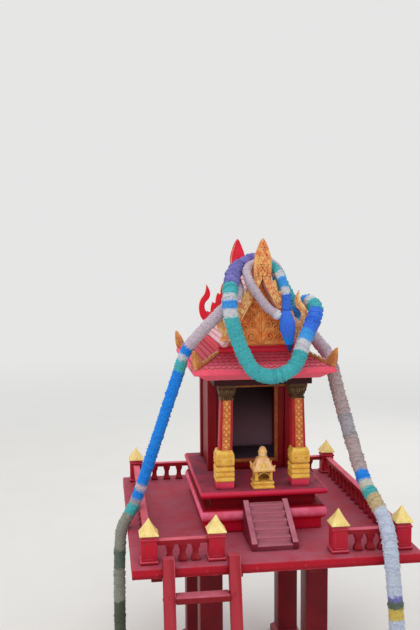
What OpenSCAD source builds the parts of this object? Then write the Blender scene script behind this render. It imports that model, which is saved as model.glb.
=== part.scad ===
/* [Platform] */
// Width of the platform, left to right
deck_w = 900; // [820:10:1100]
// Depth of the platform, front to back
deck_d = 960; // [900:10:1200]
// Height of the platform's top above the ground
deck_top = 600; // [500:10:900]
// Thickness of the platform board
deck_t = 32; // [24:1:50]
// Radius of the platform's rounded upper edge
deck_round = 7; // [3:0.5:10]

/* [Legs and beams] */
// Width of each square leg
leg_w = 76; // [50:1:110]
// Distance between the middles of the left and right legs
leg_pitch_x = 360; // [300:5:500]
// Distance between the middles of the front and rear legs
leg_pitch_y = 430; // [350:5:520]
// Width of the pad under each leg
pad_w = 104; // [80:1:140]
// Height of the pad under each leg
pad_h = 34; // [20:1:60]
// Height of the two cross beams that lie on the legs
beam_h = 52; // [40:1:80]
// Width of the two cross beams
beam_w = 54; // [40:1:80]
// Height of the joists that carry the platform board
joist_h = 36; // [24:1:50]
// Width of each joist
joist_w = 34; // [24:1:50]
// Number of joists
joist_count = 4; // [3:1:6]
// How far beams and joists stay back from the platform's edge
frame_setback = 60; // [40:5:90]

/* [Ladder] */
// Place of the ladder's middle, left of the platform's middle
ladder_off = 244; // [150:1:300]
// Distance between the middles of the two rails
ladder_pitch = 197; // [150:1:230]
// Width of a rail, seen from the front
rail_w = 36; // [28:1:50]
// Thickness of a rail, front to back
rail_t = 24; // [16:1:34]
// How far the rails stand up above the platform
rail_over = 32; // [10:1:60]
// Lean of the ladder from the vertical, in degrees
ladder_lean = 13; // [8:1:20]
// Number of rungs
rung_count = 4; // [3:1:6]
// Height of the top rung's upper face above the ground
rung_top = 526; // [440:1:540]
// Step from one rung to the next
rung_step = 122; // [90:1:150]
// Thickness of a rung
rung_t = 20; // [12:1:30]
// Depth of a rung, front to back
rung_d = 44; // [30:1:60]

/* [Fence] */
// Width of a fence post
post_w = 48; // [36:1:60]
// Height of a fence post, without its cap
post_h = 87; // [60:1:120]
// Distance from the platform's edge to the middle of a post
post_inset = 53; // [40:1:70]
// Distance of the two inner front posts from the middle
gate_half = 192; // [150:1:230]
// Width of the gold cap at its foot
cap_w = 58; // [50:1:70]
// Height of the cap's flat lip
cap_lip = 5; // [3:0.5:8]
// Height of the cap's pyramid
cap_h = 41; // [25:1:60]
// Height of the fence rail's upper face above the platform
fence_h = 69; // [50:1:82]
// Thickness of the fence rail
fence_rail_t = 15; // [10:1:20]
// Width of the fence rail, front to back
fence_rail_w = 24; // [16:1:34]
// Width of a baluster at its foot and head
baluster_w = 26; // [18:1:32]
// Width of a baluster at its waist
baluster_waist = 17; // [10:1:18]
// Largest distance between the middles of two balusters
baluster_pitch = 52; // [44:1:90]

/* [Plinth and stair] */
// Distance of the house's middle behind the platform's middle
house_back = 27; // [0:1:60]
// Width of the plinth's top slab
slab_w = 428; // [400:1:480]
// Depth of the plinth's top slab
slab_d = 525; // [500:1:580]
// Thickness of the slab
slab_t = 24; // [14:1:32]
// Height of the plinth under the slab
plinth_h = 119; // [110:1:160]
// Height of the plinth's straight foot
plinth_foot_h = 36; // [24:1:48]
// Height of the plinth's round moulding
plinth_round_h = 46; // [34:1:56]
// How far the foot stands back from the slab's edge
foot_back = 18; // [10:1:30]
// How far the neck stands back from the slab's edge
neck_back = 36; // [26:1:50]
// Width of the stair over its two side strings
stair_w = 149; // [130:1:190]
// Length of the stair on the platform
stair_run = 160; // [130:1:170]
// Height of the strings where they meet the slab
string_h = 114; // [95:1:125]
// Height of the strings at their lower end
string_toe_h = 24; // [16:1:34]
// Thickness of a string
string_t = 18; // [12:1:24]
// Number of steps
step_count = 6; // [4:1:8]
// Drop from the string's upper edge to the steps' noses
step_drop = 9; // [6:1:14]

/* [Chamber] */
// Width of the chamber over its corner posts
room_w = 314; // [290:1:340]
// Distance of the chamber's front face ahead of the house's middle
room_front = 10; // [0:1:40]
// Distance of the chamber's rear face behind the house's middle
room_rear = 226; // [190:1:240]
// Width of a corner post
room_post_w = 32; // [24:1:40]
// Thickness of the wall boards
wall_t = 14; // [8:1:20]
// How far the wall boards stand back from the posts' outer faces
wall_back = 7; // [3:1:12]
// Thickness of the chamber's floor board
floor_t = 32; // [20:1:36]
// Width of the doorway
door_w = 174; // [140:1:190]
// Height of the doorway's sill above the slab
door_sill = 38; // [36:1:60]
// Height of the doorway
door_h = 262; // [220:1:275]
// Width of the gold frame round the doorway
jamb_w = 11; // [7:1:16]
// How far the gold frame stands proud of the wall
frame_proud = 5; // [3:1:9]

/* [Porch columns] */
// Distance of each column's foot from the middle
column_half = 128; // [115:1:140]
// Distance of the columns ahead of the house's middle
column_front = 202; // [180:1:215]
// How far a column leans in over its height
column_lean = 9; // [0:1:14]
// Width of the shaft at its foot
shaft_w = 44; // [36:1:50]
// Width of the shaft at its top
shaft_top_w = 41; // [32:1:48]
// Height of the red base block
base_h = 24; // [14:1:32]
// Width of the gold base blocks
block_w = 61; // [54:1:70]
// Height of the lower gold block
block_low_h = 54; // [40:1:70]
// Height of the upper gold block
block_high_h = 52; // [40:1:70]
// Height of the capital
capital_h = 50; // [36:1:60]
// Width of the capital at its top
capital_w = 60; // [50:1:70]
// Height from the slab to the top of the capital
column_h = 347; // [330:1:370]
// Width of the gold strip on the shaft
strip_w = 27; // [18:1:32]
// Thickness of the gold strip
strip_t = 4; // [2:0.5:6]
// Number of bosses on the strip
boss_count = 8; // [5:1:10]
// Width of one boss across its corners
boss_w = 21; // [14:1:24]

/* [Skirt roof] */
// Thickness of the board on the columns and walls
ceiling_t = 20; // [14:1:30]
// How far the ceiling board stands out from the chamber's sides
ceiling_out = 8; // [4:1:20]
// Distance of the roofs' middle behind the house's middle
roof_back = 20; // [0:1:40]
// Width of the skirt roof at its eaves
eave_w = 472; // [450:1:520]
// Depth of the skirt roof at its eaves
eave_d = 604; // [560:1:640]
// Height of the eave board
eave_h = 20; // [14:1:32]
// Thickness of the eave board
eave_t = 9; // [6:1:14]
// Height of the skirt roof's slope
skirt_rise = 40; // [30:1:60]
// Thickness of the soffit above the ceiling board
soffit_t = 22; // [14:1:28]
// How far the flat soffit stands back from the eaves
soffit_in = 36; // [24:1:38]
// Width of a gold hip ridge
hip_w = 15; // [10:1:22]
// Height of a hip ridge above the slope
hip_h = 8; // [5:1:14]
// Height of the leaf at each corner
leaf_h = 64; // [40:1:80]
// Thickness of the corner leaf
leaf_t = 13; // [8:1:18]

/* [Main roof] */
// Width of the block that carries the main roof
attic_w = 290; // [270:1:320]
// Depth of the block that carries the main roof
attic_d = 414; // [380:1:440]
// Height of that block
attic_h = 23; // [16:1:36]
// Height of the roof's top edge above the block
roof_h = 247; // [200:1:290]
// Half the width that the roof reaches at flare_drop below its top
flare_half = 140; // [120:1:150]
// Drop at which the roof has its flare_half
flare_drop = 260; // [230:1:300]
// Hollow of the roof line: 1 is straight
flare_power = 1.12; // [1:0.01:1.3]
// Thickness of the roof boards, measured upright
roof_deep = 24; // [16:1:34]
// Length of the main roof between its gable boards
roof_l = 456; // [420:1:480]
// Width of the ridge cap
ridge_w = 18; // [12:1:26]
// Height of the ridge cap above the roof's top edge
ridge_h = 12; // [6:1:20]
// Thickness of the pediment panels
pediment_t = 12; // [8:1:18]
// How far the pediment stands back behind the gable boards
pediment_back = 26; // [22:1:40]
// Thickness of the relief on a pediment
relief_t = 5; // [3:0.5:8]

/* [Gable boards] */
// Thickness of a gable board
board_t = 14; // [10:1:20]
// Height of the gable board above the roof's top edge
board_rise = 43; // [30:1:50]
// Depth of the gable board, measured upright
board_deep = 62; // [50:1:80]
// Height at which the boards end, above the attic block
board_end = 22; // [10:1:40]
// Number of leaves on each gable board
scale_count = 5; // [3:1:8]
// Length of a leaf along the board
scale_l = 34; // [22:1:40]
// How far a leaf stands out from the board
scale_out = 13; // [8:1:20]
// Height of the spire above the gable boards' meeting point
spire_h = 68; // [50:1:100]
// Half the width of the spire at its widest
spire_half = 29; // [20:1:36]
// Thickness of the spire at its foot
spire_t = 24; // [18:1:32]
// How far the spire's tip leans out
spire_lean = 20; // [0:1:36]
// Height of the flame at the gable board's foot
flame_h = 164; // [130:1:185]

/* [Offering shrine] */
// Width of the small shrine's base
shrine_w = 70; // [60:1:90]
// Depth of the small shrine's base
shrine_d = 58; // [48:1:70]
// Height of the small shrine's base
shrine_base_h = 23; // [16:1:30]
// Height of the small shrine's open body
shrine_body_h = 34; // [24:1:44]
// Height of the small shrine's roof
shrine_roof_h = 42; // [30:1:54]
// Height of the small shrine's spire
shrine_spire_h = 40; // [28:1:54]
// Distance of the small shrine ahead of the house's middle
shrine_front = 218; // [205:1:228]

/* [Garlands] */
// Diameter of the garland that hangs down on the left
left_garland_d = 42; // [34:1:50]
// Diameter of the garland that hangs down on the right
right_garland_d = 50; // [40:1:58]
// Diameter of the garland that hangs in a bow across the porch
front_garland_d = 52; // [40:1:58]
// Diameter of the short garland round the front spire
spire_garland_d = 32; // [24:1:36]
// Diameter of the tied tail under the spire's garland
tail_d = 52; // [36:1:60]
// Length of the tassels at the two long ends
tassel_l = 84; // [50:1:110]
// Length of the round knots that close the short garlands
knot_l = 18; // [10:1:22]

/* [Hidden] */

// Colours of the paint
red = [0.64, 0.07, 0.12];
rose = [0.62, 0.24, 0.30];
gold = [0.93, 0.72, 0.30];
old_gold = [0.78, 0.42, 0.17];
// Colours of the garlands' cloth
lilac = [0.74, 0.73, 0.82];
cream = [0.86, 0.85, 0.78];
teal = [0.25, 0.62, 0.65];
azure = [0.16, 0.42, 0.85];

// Heights above the ground
deck_under = deck_top - deck_t;
joist_under = deck_under - joist_h;
leg_top = joist_under - beam_h;
slab_under = deck_top + plinth_h;
floor_z = slab_under + slab_t;
capital_top = floor_z + column_h;
ceiling_top = capital_top + ceiling_t;
eave_top = ceiling_top + soffit_t + eave_h;
skirt_top = eave_top + skirt_rise;
roof_foot = skirt_top + attic_h;
roof_top = roof_foot + roof_h;
board_top = roof_top + board_rise;

// The ladder's rails meet the platform's edge at half its height
seat_z = deck_under + deck_t / 2;
rail_run = rail_t / cos(ladder_lean);
ladder_reach = seat_z * tan(ladder_lean) + rail_run;

// Places front to back: the origin is in the middle of the whole footprint
deck_y = ladder_reach / 2;
house_y = deck_y + house_back;
front_y = deck_y - deck_d / 2;

slab_front = slab_d / 2;
stair_inner = stair_w - 2 * string_t;
gable_y = roof_l / 2;

// Moves what belongs to the house to its middle
module at_house() {
    translate([0, house_y, 0]) children();
}

// Points along an arc, from angle a to angle b
function arc(cx, cz, rx, rz, a, b, n) =
    [for (i = [0:n]) let (t = a + (b - a) * i / n) [cx + rx * cos(t), cz + rz * sin(t)]];

// Points along a curve bent towards one control point
function bow(p, c, q, n) =
    [for (i = [0:n]) let (t = i / n) (1 - t) * (1 - t) * p + 2 * t * (1 - t) * c + t * t * q];

function reversed(list) = [for (i = [len(list) - 1:-1:0]) list[i]];

// Outline closed by its own mirror image: points are [distance outside the half width, height]
function mirrored(half, profile) = concat(
    [for (p = profile) [half + p[0], p[1]]],
    [for (p = reversed(profile)) [-half - p[0], p[1]]]
);

// A rectangular block whose four sides all follow one profile, mitred at the corners
module moulded_block(w, d, profile) {
    reach = 2 * max(w, d);
    intersection() {
        rotate([90, 0, 0]) linear_extrude(reach, center = true) polygon(mirrored(w / 2, profile));
        rotate([90, 0, 90]) linear_extrude(reach, center = true) polygon(mirrored(d / 2, profile));
    }
}

// A plain box standing on height z, centred left to right and front to back
module box_at(w, d, z, h) {
    translate([-w / 2, -d / 2, z]) cube([w, d, h]);
}

// Repeats its children at the corners of a rectangle, each turned to point outwards
module at_corners(w, d) {
    for (x = [-1, 1], y = [-1, 1])
        translate([x * w / 2, y * d / 2, 0]) rotate([0, 0, atan2(y, x)]) children();
}

// A four-sided post whose top may be shifted and narrower than its foot
module leaning_post(foot_x, top_x, foot_w, top_w, z0, z1) {
    a = foot_w / 2;
    b = top_w / 2;
    polyhedron(
        points = [
            [foot_x - a, -a, z0], [foot_x + a, -a, z0], [foot_x + a, a, z0], [foot_x - a, a, z0],
            [top_x - b, -b, z1], [top_x + b, -b, z1], [top_x + b, b, z1], [top_x - b, b, z1]
        ],
        faces = [[0, 1, 2, 3], [7, 6, 5, 4], [0, 4, 5, 1], [1, 5, 6, 2], [2, 6, 7, 3], [3, 7, 4, 0]]
    );
}

// Half the roof's width at a drop below a top edge
function flare(drop) = drop <= 0 ? 0 : flare_half * pow(drop / flare_drop, flare_power);

// Drop below a top edge at which the roof has a given half width
function drop_at(half) = flare_drop * pow(half / flare_half, 1 / flare_power);

// Points down one side of the roof line that starts at top
function slope_line(top, z_from, z_to, n) =
    [for (i = [0:n]) let (z = z_from + (z_to - z_from) * i / n) [flare(top - z), z]];

// The space under the roof line that starts at top, as an outline
module under_line(top, z_to) {
    side = slope_line(top, top, z_to, 16);
    polygon(concat(side, [for (p = reversed(side)) [-p[0], p[1]]]));
}

// Repeats its children at the four legs
module at_legs() {
    for (x = [-1, 1], y = [-1, 1])
        translate([x * leg_pitch_x / 2, house_y + y * leg_pitch_y / 2, 0]) children();
}

module leg_pads() {
    color(red) at_legs()
        moulded_block(pad_w, pad_w, [[0, 0], [0, pad_h * 0.6], [-(pad_w - leg_w) / 2, pad_h]]);
}

module legs() {
    color(red) at_legs() box_at(leg_w, leg_w, pad_h, leg_top - pad_h);
}

frame_w = deck_w - 2 * frame_setback;

module cross_beams() {
    color(red)
    for (y = [-1, 1])
        translate([0, house_y + y * leg_pitch_y / 2, 0]) box_at(frame_w, beam_w, leg_top, beam_h);
}

module joists() {
    pitch = (frame_w - joist_w) / (joist_count - 1);
    color(red)
    for (i = [0:joist_count - 1])
        translate([(i - (joist_count - 1) / 2) * pitch, deck_y, 0])
            box_at(joist_w, deck_d - 2 * frame_setback, joist_under, joist_h);
}

module deck() {
    r = deck_round;
    edge = concat([[0, deck_under]], arc(-r, deck_top - r, r, r, 0, 90, 3));
    color(rose) translate([0, deck_y, 0]) moulded_block(deck_w, deck_d, edge);
}

// Side view of a rail, notched where it rests on the platform's edge
module rail_side() {
    lean = tan(ladder_lean);
    notch = (deck_top - seat_z) * lean;
    head = notch + rail_over * lean;
    polygon([
        [front_y, seat_z], [front_y, deck_top], [front_y + notch, deck_top],
        [front_y + head, deck_top + rail_over], [front_y + head - rail_run, deck_top + rail_over],
        [front_y - seat_z * lean - rail_run, 0], [front_y - seat_z * lean, 0]
    ]);
}

module ladder_rails() {
    color(red)
    for (s = [-1, 1])
        translate([-ladder_off + s * ladder_pitch / 2 - rail_w / 2, 0, 0])
            rotate([90, 0, 90]) linear_extrude(rail_w) rail_side();
}

module ladder_rungs() {
    clear = ladder_pitch - rail_w;
    color(rose)
    for (i = [0:rung_count - 1]) {
        z = rung_top - i * rung_step;
        back = front_y - (seat_z - z + rung_t / 2) * tan(ladder_lean);
        translate([-ladder_off - clear / 2, back - rail_run / 2 - rung_d / 2, z - rung_t])
            cube([clear, rung_d, rung_t]);
    }
}

// The places of the six posts: four corners and two beside the stair
corner_x = deck_w / 2 - post_inset;
corner_y = deck_d / 2 - post_inset;
POSTS = [
    [-corner_x, -corner_y], [-gate_half, -corner_y], [gate_half, -corner_y], [corner_x, -corner_y],
    [-corner_x, corner_y], [corner_x, corner_y]
];

module fence_posts() {
    top = deck_top + post_h;
    color(red)
    for (p = POSTS)
        translate([p[0], deck_y + p[1], 0])
            moulded_block(post_w, post_w, [[0, deck_top], [0, top - 6], [-3, top - 4], [-3, top]]);
}

module post_caps() {
    foot = deck_top + post_h;
    top = foot + cap_lip + cap_h;
    eave = foot + cap_lip;
    side = bow([-2, eave], [-cap_w * 0.24, eave + cap_h * 0.42], [-cap_w / 2 + 2.5, top], 5);
    color(gold)
    for (p = POSTS)
        translate([p[0], deck_y + p[1], 0])
            moulded_block(cap_w, cap_w, concat([[-1, foot], [0, foot + 1], [0, eave - 1]], side));
}

// A rail between two posts with evenly spaced balusters under it
module fence_bay(length) {
    gaps = ceil(length / baluster_pitch);
    rail_under = fence_h - fence_rail_t;
    thin = (baluster_w - baluster_waist) / 2;
    translate([-length / 2, -fence_rail_w / 2, deck_top + rail_under])
        cube([length, fence_rail_w, fence_rail_t]);
    for (i = [1:gaps - 1])
        translate([length * (i / gaps - 0.5), 0, deck_top])
            moulded_block(baluster_w, fence_rail_w, [
                [0, 0], [0, rail_under * 0.14], [-thin, rail_under * 0.38], [-thin, rail_under * 0.62],
                [0, rail_under * 0.86], [0, rail_under]
            ]);
}

module front_fence(side) {
    length = corner_x - gate_half - post_w;
    color(red)
    translate([side * (corner_x + gate_half) / 2, deck_y - corner_y, 0]) fence_bay(length);
}

module front_left_fence() {
    front_fence(-1);
}

module front_right_fence() {
    front_fence(1);
}

module side_fence(side) {
    color(red)
    translate([side * corner_x, deck_y, 0]) rotate([0, 0, 90]) fence_bay(2 * corner_y - post_w);
}

module left_fence() {
    side_fence(-1);
}

module right_fence() {
    side_fence(1);
}

module rear_fence() {
    color(red) translate([0, deck_y + corner_y, 0]) fence_bay(2 * corner_x - post_w);
}

module plinth() {
    round_z = deck_top + plinth_foot_h + plinth_round_h / 2;
    round_top = deck_top + plinth_foot_h + plinth_round_h;
    flare_out = (foot_back + neck_back) / 2;
    outline = concat(
        [[-foot_back, deck_top], [-foot_back, deck_top + plinth_foot_h - 3]],
        arc(-foot_back, round_z, foot_back - 2, plinth_round_h / 2, -80, 80, 8),
        [[-neck_back, round_top + 3], [-neck_back, slab_under - 9], [-flare_out, slab_under]]
    );
    color(red) at_house() moulded_block(slab_w, slab_d, outline);
}

module plinth_slab() {
    nose = arc(-slab_t / 2, slab_under + slab_t / 2, slab_t / 2, slab_t / 2, -90, 90, 8);
    color(rose) at_house() moulded_block(slab_w, slab_d, nose);
}

// Side view of the steps, with y = 0 at the slab's front edge and the stair towards -y
module step_side() {
    rise = (string_h - step_drop) / step_count;
    going = stair_run / step_count;
    points = [for (i = [0:step_count - 1]) each [
        [-stair_run + i * going, deck_top + i * rise],
        [-stair_run + i * going, deck_top + (i + 1) * rise]
    ]];
    polygon(concat(points, [[0, deck_top + step_count * rise], [0, deck_top]]));
}

module stair_steps() {
    color(rose)
    at_house() translate([-stair_inner / 2, -slab_front, 0])
        rotate([90, 0, 90]) linear_extrude(stair_inner) step_side();
}

module stair_strings() {
    color(rose)
    at_house()
    for (s = [-1, 1])
        translate([s * (stair_w - string_t) / 2 - string_t / 2, -slab_front, 0])
            rotate([90, 0, 90]) linear_extrude(string_t)
                polygon([
                    [0, deck_top], [0, deck_top + string_h], [-stair_run, deck_top + string_toe_h],
                    [-stair_run, deck_top]
                ]);
}

// Inner width and depth of the chamber, between the boards
room_inner_w = room_w - 2 * (wall_back + wall_t);
room_y0 = -room_front;
room_inner_d = room_rear + room_front - 2 * (wall_back + wall_t);
room_mid = (room_rear - room_front) / 2;

module chamber_posts() {
    color(red)
    at_house() translate([0, room_mid, 0])
    for (x = [-1, 1], y = [-1, 1])
        translate([x * (room_w - room_post_w) / 2, y * (room_rear + room_front - room_post_w) / 2, 0])
            box_at(room_post_w, room_post_w, floor_z, column_h);
}

// The floor board is notched at its corners round the posts
module chamber_floor() {
    inner = room_post_w - wall_back - wall_t;
    color(red)
    at_house() translate([0, room_mid, 0])
    difference() {
        box_at(room_inner_w, room_inner_d, floor_z, floor_t);
        for (x = [-1, 1], y = [-1, 1])
            translate([x * room_inner_w / 2, y * room_inner_d / 2, 0])
                box_at(2 * inner, 2 * inner, floor_z - 1, floor_t + 2);
    }
}

module front_wall() {
    color(red)
    at_house() translate([0, room_y0 + wall_back, floor_z])
    difference() {
        translate([-room_w / 2 + room_post_w, 0, 0]) cube([room_w - 2 * room_post_w, wall_t, column_h]);
        translate([-door_w / 2, -1, door_sill]) cube([door_w, wall_t + 2, door_h]);
    }
}

module rear_wall() {
    color(red)
    at_house() translate([0, room_rear - wall_back - wall_t, floor_z])
        translate([-room_w / 2 + room_post_w, 0, 0]) cube([room_w - 2 * room_post_w, wall_t, column_h]);
}

module side_wall(side) {
    length = room_rear + room_front - 2 * room_post_w;
    color(red)
    at_house() translate([side * (room_w / 2 - wall_back - wall_t / 2), room_mid, 0])
        box_at(wall_t, length, floor_z, column_h);
}

module left_wall() {
    side_wall(-1);
}

module right_wall() {
    side_wall(1);
}

// Gold moulding round the doorway; its head runs across between the corner posts
module door_frame() {
    outer_w = door_w + 2 * jamb_w;
    head_z = floor_z + door_sill + door_h;
    head_w = room_w - 2 * room_post_w;
    color(gold)
    at_house() translate([0, room_y0 + wall_back - frame_proud, 0]) {
        difference() {
            translate([-outer_w / 2, 0, floor_z + door_sill - jamb_w])
                cube([outer_w, frame_proud, door_h + 2 * jamb_w]);
            translate([-door_w / 2, -1, floor_z + door_sill]) cube([door_w, frame_proud + 2, door_h]);
        }
        translate([-head_w / 2, 0, head_z]) cube([head_w, frame_proud, jamb_w]);
    }
}

// How far in a column stands at a height above the slab
function lean_at(h) = column_half - column_lean * h / column_h;

block_top = base_h + block_low_h + block_high_h;
shaft_h = column_h - block_top - capital_h;

// Repeats its children at the feet of the two columns
module at_columns() {
    for (s = [-1, 1])
        translate([s * column_half, house_y - column_front, 0]) children();
}

module column_feet() {
    color(red) at_columns() box_at(block_w - 2, block_w - 2, floor_z, base_h);
}

// A block of three bands, and above a groove a plain block that narrows to the shaft
module column_bases() {
    z1 = floor_z + base_h;
    z2 = z1 + block_low_h;
    z3 = z2 + block_high_h;
    band = (block_low_h - 4) / 3;
    bands = [for (i = [0:2]) let (z = z1 + i * band) each [
        [-2.5, z], [-2.5, z + 1], [0, z + 3], [0, z + band - 2], [-2.5, z + band]
    ]];
    block = [
        [-7, z2 - 4], [-7, z2], [-1, z2 + 2], [0, z2 + 5], [0, z2 + block_high_h * 0.62],
        [-4, z3 - 5], [-6, z3 - 3], [-6, z3]
    ];
    color(gold) at_columns() moulded_block(block_w, block_w, concat(bands, block));
}

module columns() {
    color(red)
    at_house() translate([0, -column_front, 0])
    for (s = [-1, 1])
        leaning_post(
            s * lean_at(block_top), s * lean_at(column_h - capital_h), shaft_w, shaft_top_w,
            floor_z + block_top, capital_top - capital_h
        );
}

module column_strips() {
    pitch = shaft_h / boss_count;
    face_low = shaft_w / 2;
    face_high = shaft_top_w / 2;
    y_low = -column_front - face_low;
    y_high = -column_front - face_high;
    color(gold)
    at_house()
    for (s = [-1, 1]) {
        z0 = floor_z + block_top;
        a = s * lean_at(block_top);
        b = s * lean_at(block_top + shaft_h);
        w = strip_w / 2;
        polyhedron(
            points = [
                [a - w, y_low - strip_t, z0], [a + w, y_low - strip_t, z0],
                [a + w, y_low, z0], [a - w, y_low, z0],
                [b - w, y_high - strip_t, z0 + shaft_h], [b + w, y_high - strip_t, z0 + shaft_h],
                [b + w, y_high, z0 + shaft_h], [b - w, y_high, z0 + shaft_h]
            ],
            faces = [[0, 1, 2, 3], [7, 6, 5, 4], [0, 4, 5, 1], [1, 5, 6, 2], [2, 6, 7, 3], [3, 7, 4, 0]]
        );
        for (i = [0:boss_count - 1]) {
            h = (i + 0.5) * pitch;
            share = h / shaft_h;
            face = face_low + (face_high - face_low) * share + strip_t;
            translate([a + (b - a) * share, -column_front - face + 0.5, z0 + h])
                rotate([90, 0, 0]) cylinder(h = 4.5, d1 = boss_w, d2 = 5, $fn = 4);
        }
    }
}

module column_capitals() {
    z0 = capital_top - capital_h;
    out = (capital_w - shaft_top_w) / 2;
    outline = concat(
        [[-out + 2, z0], [-out + 2, z0 + 5], [-out - 1, z0 + 7], [-out - 1, z0 + 13]],
        bow([-out + 1, z0 + 14], [-out + 2, z0 + capital_h * 0.6], [-2, capital_top - 10], 5),
        [[0, capital_top - 8], [0, capital_top]]
    );
    color(old_gold)
    at_house()
    for (s = [-1, 1])
        translate([s * lean_at(column_h - capital_h / 2), -column_front, 0])
            moulded_block(capital_w, capital_w, outline);
}

module ceiling_board() {
    front = column_front + capital_w / 2 + 2;
    rear = room_rear + ceiling_out;
    color(red)
    at_house() translate([0, (rear - front) / 2, 0])
        box_at(room_w + 2 * ceiling_out, front + rear, capital_top, ceiling_t);
}

// The skirt roof's own outline lies inside the eave boards
skirt_w = eave_w - 2 * eave_t;
skirt_d = eave_d - 2 * eave_t;
skirt_in = (eave_w - attic_w) / 2 - eave_t;

// Saw cut between two eave boards at a mitre
mitre_gap = 0.6;

function skirt_outline(lift) = [
    [-soffit_in, ceiling_top], [0, eave_top - eave_h + 2],
    [0, eave_top + lift], [-skirt_in, skirt_top + lift]
];

// Moves what belongs to the roofs to their middle
module at_roof() {
    translate([0, house_y + roof_back, 0]) children();
}

module skirt_roof() {
    color(rose) at_roof() moulded_block(skirt_w, skirt_d, skirt_outline(0));
}

module eave_boards() {
    low = eave_top - eave_h;
    color(red)
    at_roof()
    difference() {
        moulded_block(eave_w, eave_d, [
            [-2, low], [0, low + 2], [0, low + eave_h * 0.55], [-2, low + eave_h * 0.6],
            [-2, eave_top - 2], [-4, eave_top]
        ]);
        box_at(skirt_w, skirt_d, low - 1, eave_h + 2);
        at_corners(skirt_w, skirt_d) translate([-mitre_gap, -mitre_gap / 2, low - 1])
            cube([4 * eave_t, mitre_gap, eave_h + 2]);
    }
}

// A flame or leaf shape: foot from 0 to w, bent to a tip at [lean, h]
module flame(w, h, lean, belly) {
    polygon(concat(
        bow([w, 0], [w + belly, h * 0.35], [lean, h], 7),
        bow([lean, h], [-belly * 0.3, h * 0.5], [0, 0], 7)
    ));
}

// The ribs as solids from the eaves up, before the slope is taken away
module hip_ribs() {
    intersection() {
        moulded_block(skirt_w, skirt_d, skirt_outline(hip_h));
        at_corners(attic_w, attic_d) translate([0, -hip_w / 2, eave_top])
            cube([eave_w, hip_w, skirt_rise + hip_h]);
    }
}

// Gold ribs down the four corners of the slope
module hip_ridges() {
    color(gold)
    at_roof()
    difference() {
        hip_ribs();
        moulded_block(skirt_w, skirt_d, skirt_outline(0));
        box_at(attic_w, attic_d, ceiling_top, skirt_top);
    }
}

// A leaf stands on each corner of the eaves, over the lower end of the rib
module corner_leaves() {
    leaf_foot = 30;
    foot_out = 6;
    tip_out = 6;
    color(gold)
    at_roof()
    difference() {
        at_corners(skirt_w, skirt_d) translate([foot_out - leaf_foot, leaf_t / 2, eave_top])
            rotate([90, 0, 0]) linear_extrude(leaf_t) flame(leaf_foot, leaf_h, leaf_foot + tip_out, 10);
        moulded_block(skirt_w, skirt_d, skirt_outline(hip_h));
    }
}

module attic_block() {
    outline = [
        [0, skirt_top], [0, skirt_top + attic_h * 0.4], [-4, skirt_top + attic_h * 0.5],
        [-4, roof_foot - 5], [0, roof_foot - 4], [0, roof_foot]
    ];
    color(red) at_roof() moulded_block(attic_w, attic_d, outline);
}

module roof_slope(side) {
    n = 12;
    outer = slope_line(roof_top, roof_top, roof_foot, n);
    inner = slope_line(roof_top - roof_deep, roof_foot, roof_top - roof_deep, n);
    color(rose)
    at_roof() mirror([side < 0 ? 1 : 0, 0, 0])
        rotate([90, 0, 0]) linear_extrude(roof_l, center = true) polygon(concat(outer, inner));
}

module left_roof_slope() {
    roof_slope(-1);
}

module right_roof_slope() {
    roof_slope(1);
}

module ridge_cap() {
    half = ridge_w / 2;
    foot = roof_top - drop_at(half) - 4;
    color(red)
    at_roof()
    rotate([90, 0, 0]) linear_extrude(roof_l, center = true)
    difference() {
        polygon(concat(
            [[half, foot], [half, roof_top + ridge_h - 6]],
            arc(0, roof_top + ridge_h - 6, half, 6, 0, 180, 6),
            [[-half, foot]]
        ));
        under_line(roof_top, roof_foot);
    }
}

// Raised scrolls in pairs round a central bud, on the panel's own plane
module relief() {
    span = roof_h - roof_deep;
    translate([0, roof_foot + span * 0.08]) {
        translate([-13, 0]) flame(26, span * 0.66, 13, 6);
        for (s = [0, 1], i = [0:2])
            mirror([s, 0]) translate([12 + i * 21, i * 1.5])
                flame(20 - 3 * i, span * (0.42 - 0.11 * i), -2, 9);
    }
}

module pediment(side) {
    top = roof_top - roof_deep;
    color(old_gold)
    at_roof() mirror([0, side > 0 ? 1 : 0, 0])
    translate([0, -gable_y + pediment_back, 0]) {
        translate([0, pediment_t, 0]) rotate([90, 0, 0]) linear_extrude(pediment_t)
            under_line(top, roof_foot);
        rotate([90, 0, 0]) linear_extrude(relief_t) intersection() {
            relief();
            under_line(top - 16, roof_foot);
        }
    }
}

module front_pediment() {
    pediment(-1);
}

module rear_pediment() {
    pediment(1);
}

board_low = roof_foot + board_end;
joint_half = 1;

// One gable board, right of the middle: a band along the roof line with leaves on its upper edge
module board_outline() {
    n = 14;
    top = board_top - drop_at(joint_half);
    inner_top = top - board_deep;
    polygon(concat(
        slope_line(board_top, top, board_low, n),
        slope_line(board_top - board_deep, board_low, inner_top, n)
    ));
    leaf_from = drop_at(spire_half) + 8;
    leaf_pitch = (board_top - board_low - leaf_from - 24) / scale_count;
    for (i = [0:scale_count - 1]) {
        drop = leaf_from + (i + 0.5) * leaf_pitch;
        tilt = atan2(flare(drop + 1) - flare(drop - 1), 2);
        translate([flare(drop), board_top - drop]) rotate(tilt) translate([-2, -scale_l * 0.5])
            rotate(-90) mirror([1, 0]) flame(scale_l * 0.9, scale_out, scale_l, 3);
    }
}

module gable_boards(side) {
    color(old_gold)
    at_roof() mirror([0, side > 0 ? 1 : 0, 0])
    translate([0, -gable_y, 0])
    for (x = [0, 1])
        mirror([x, 0, 0]) rotate([90, 0, 0]) linear_extrude(board_t) board_outline();
}

module front_gable_boards() {
    gable_boards(-1);
}

module rear_gable_boards() {
    gable_boards(1);
}

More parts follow.
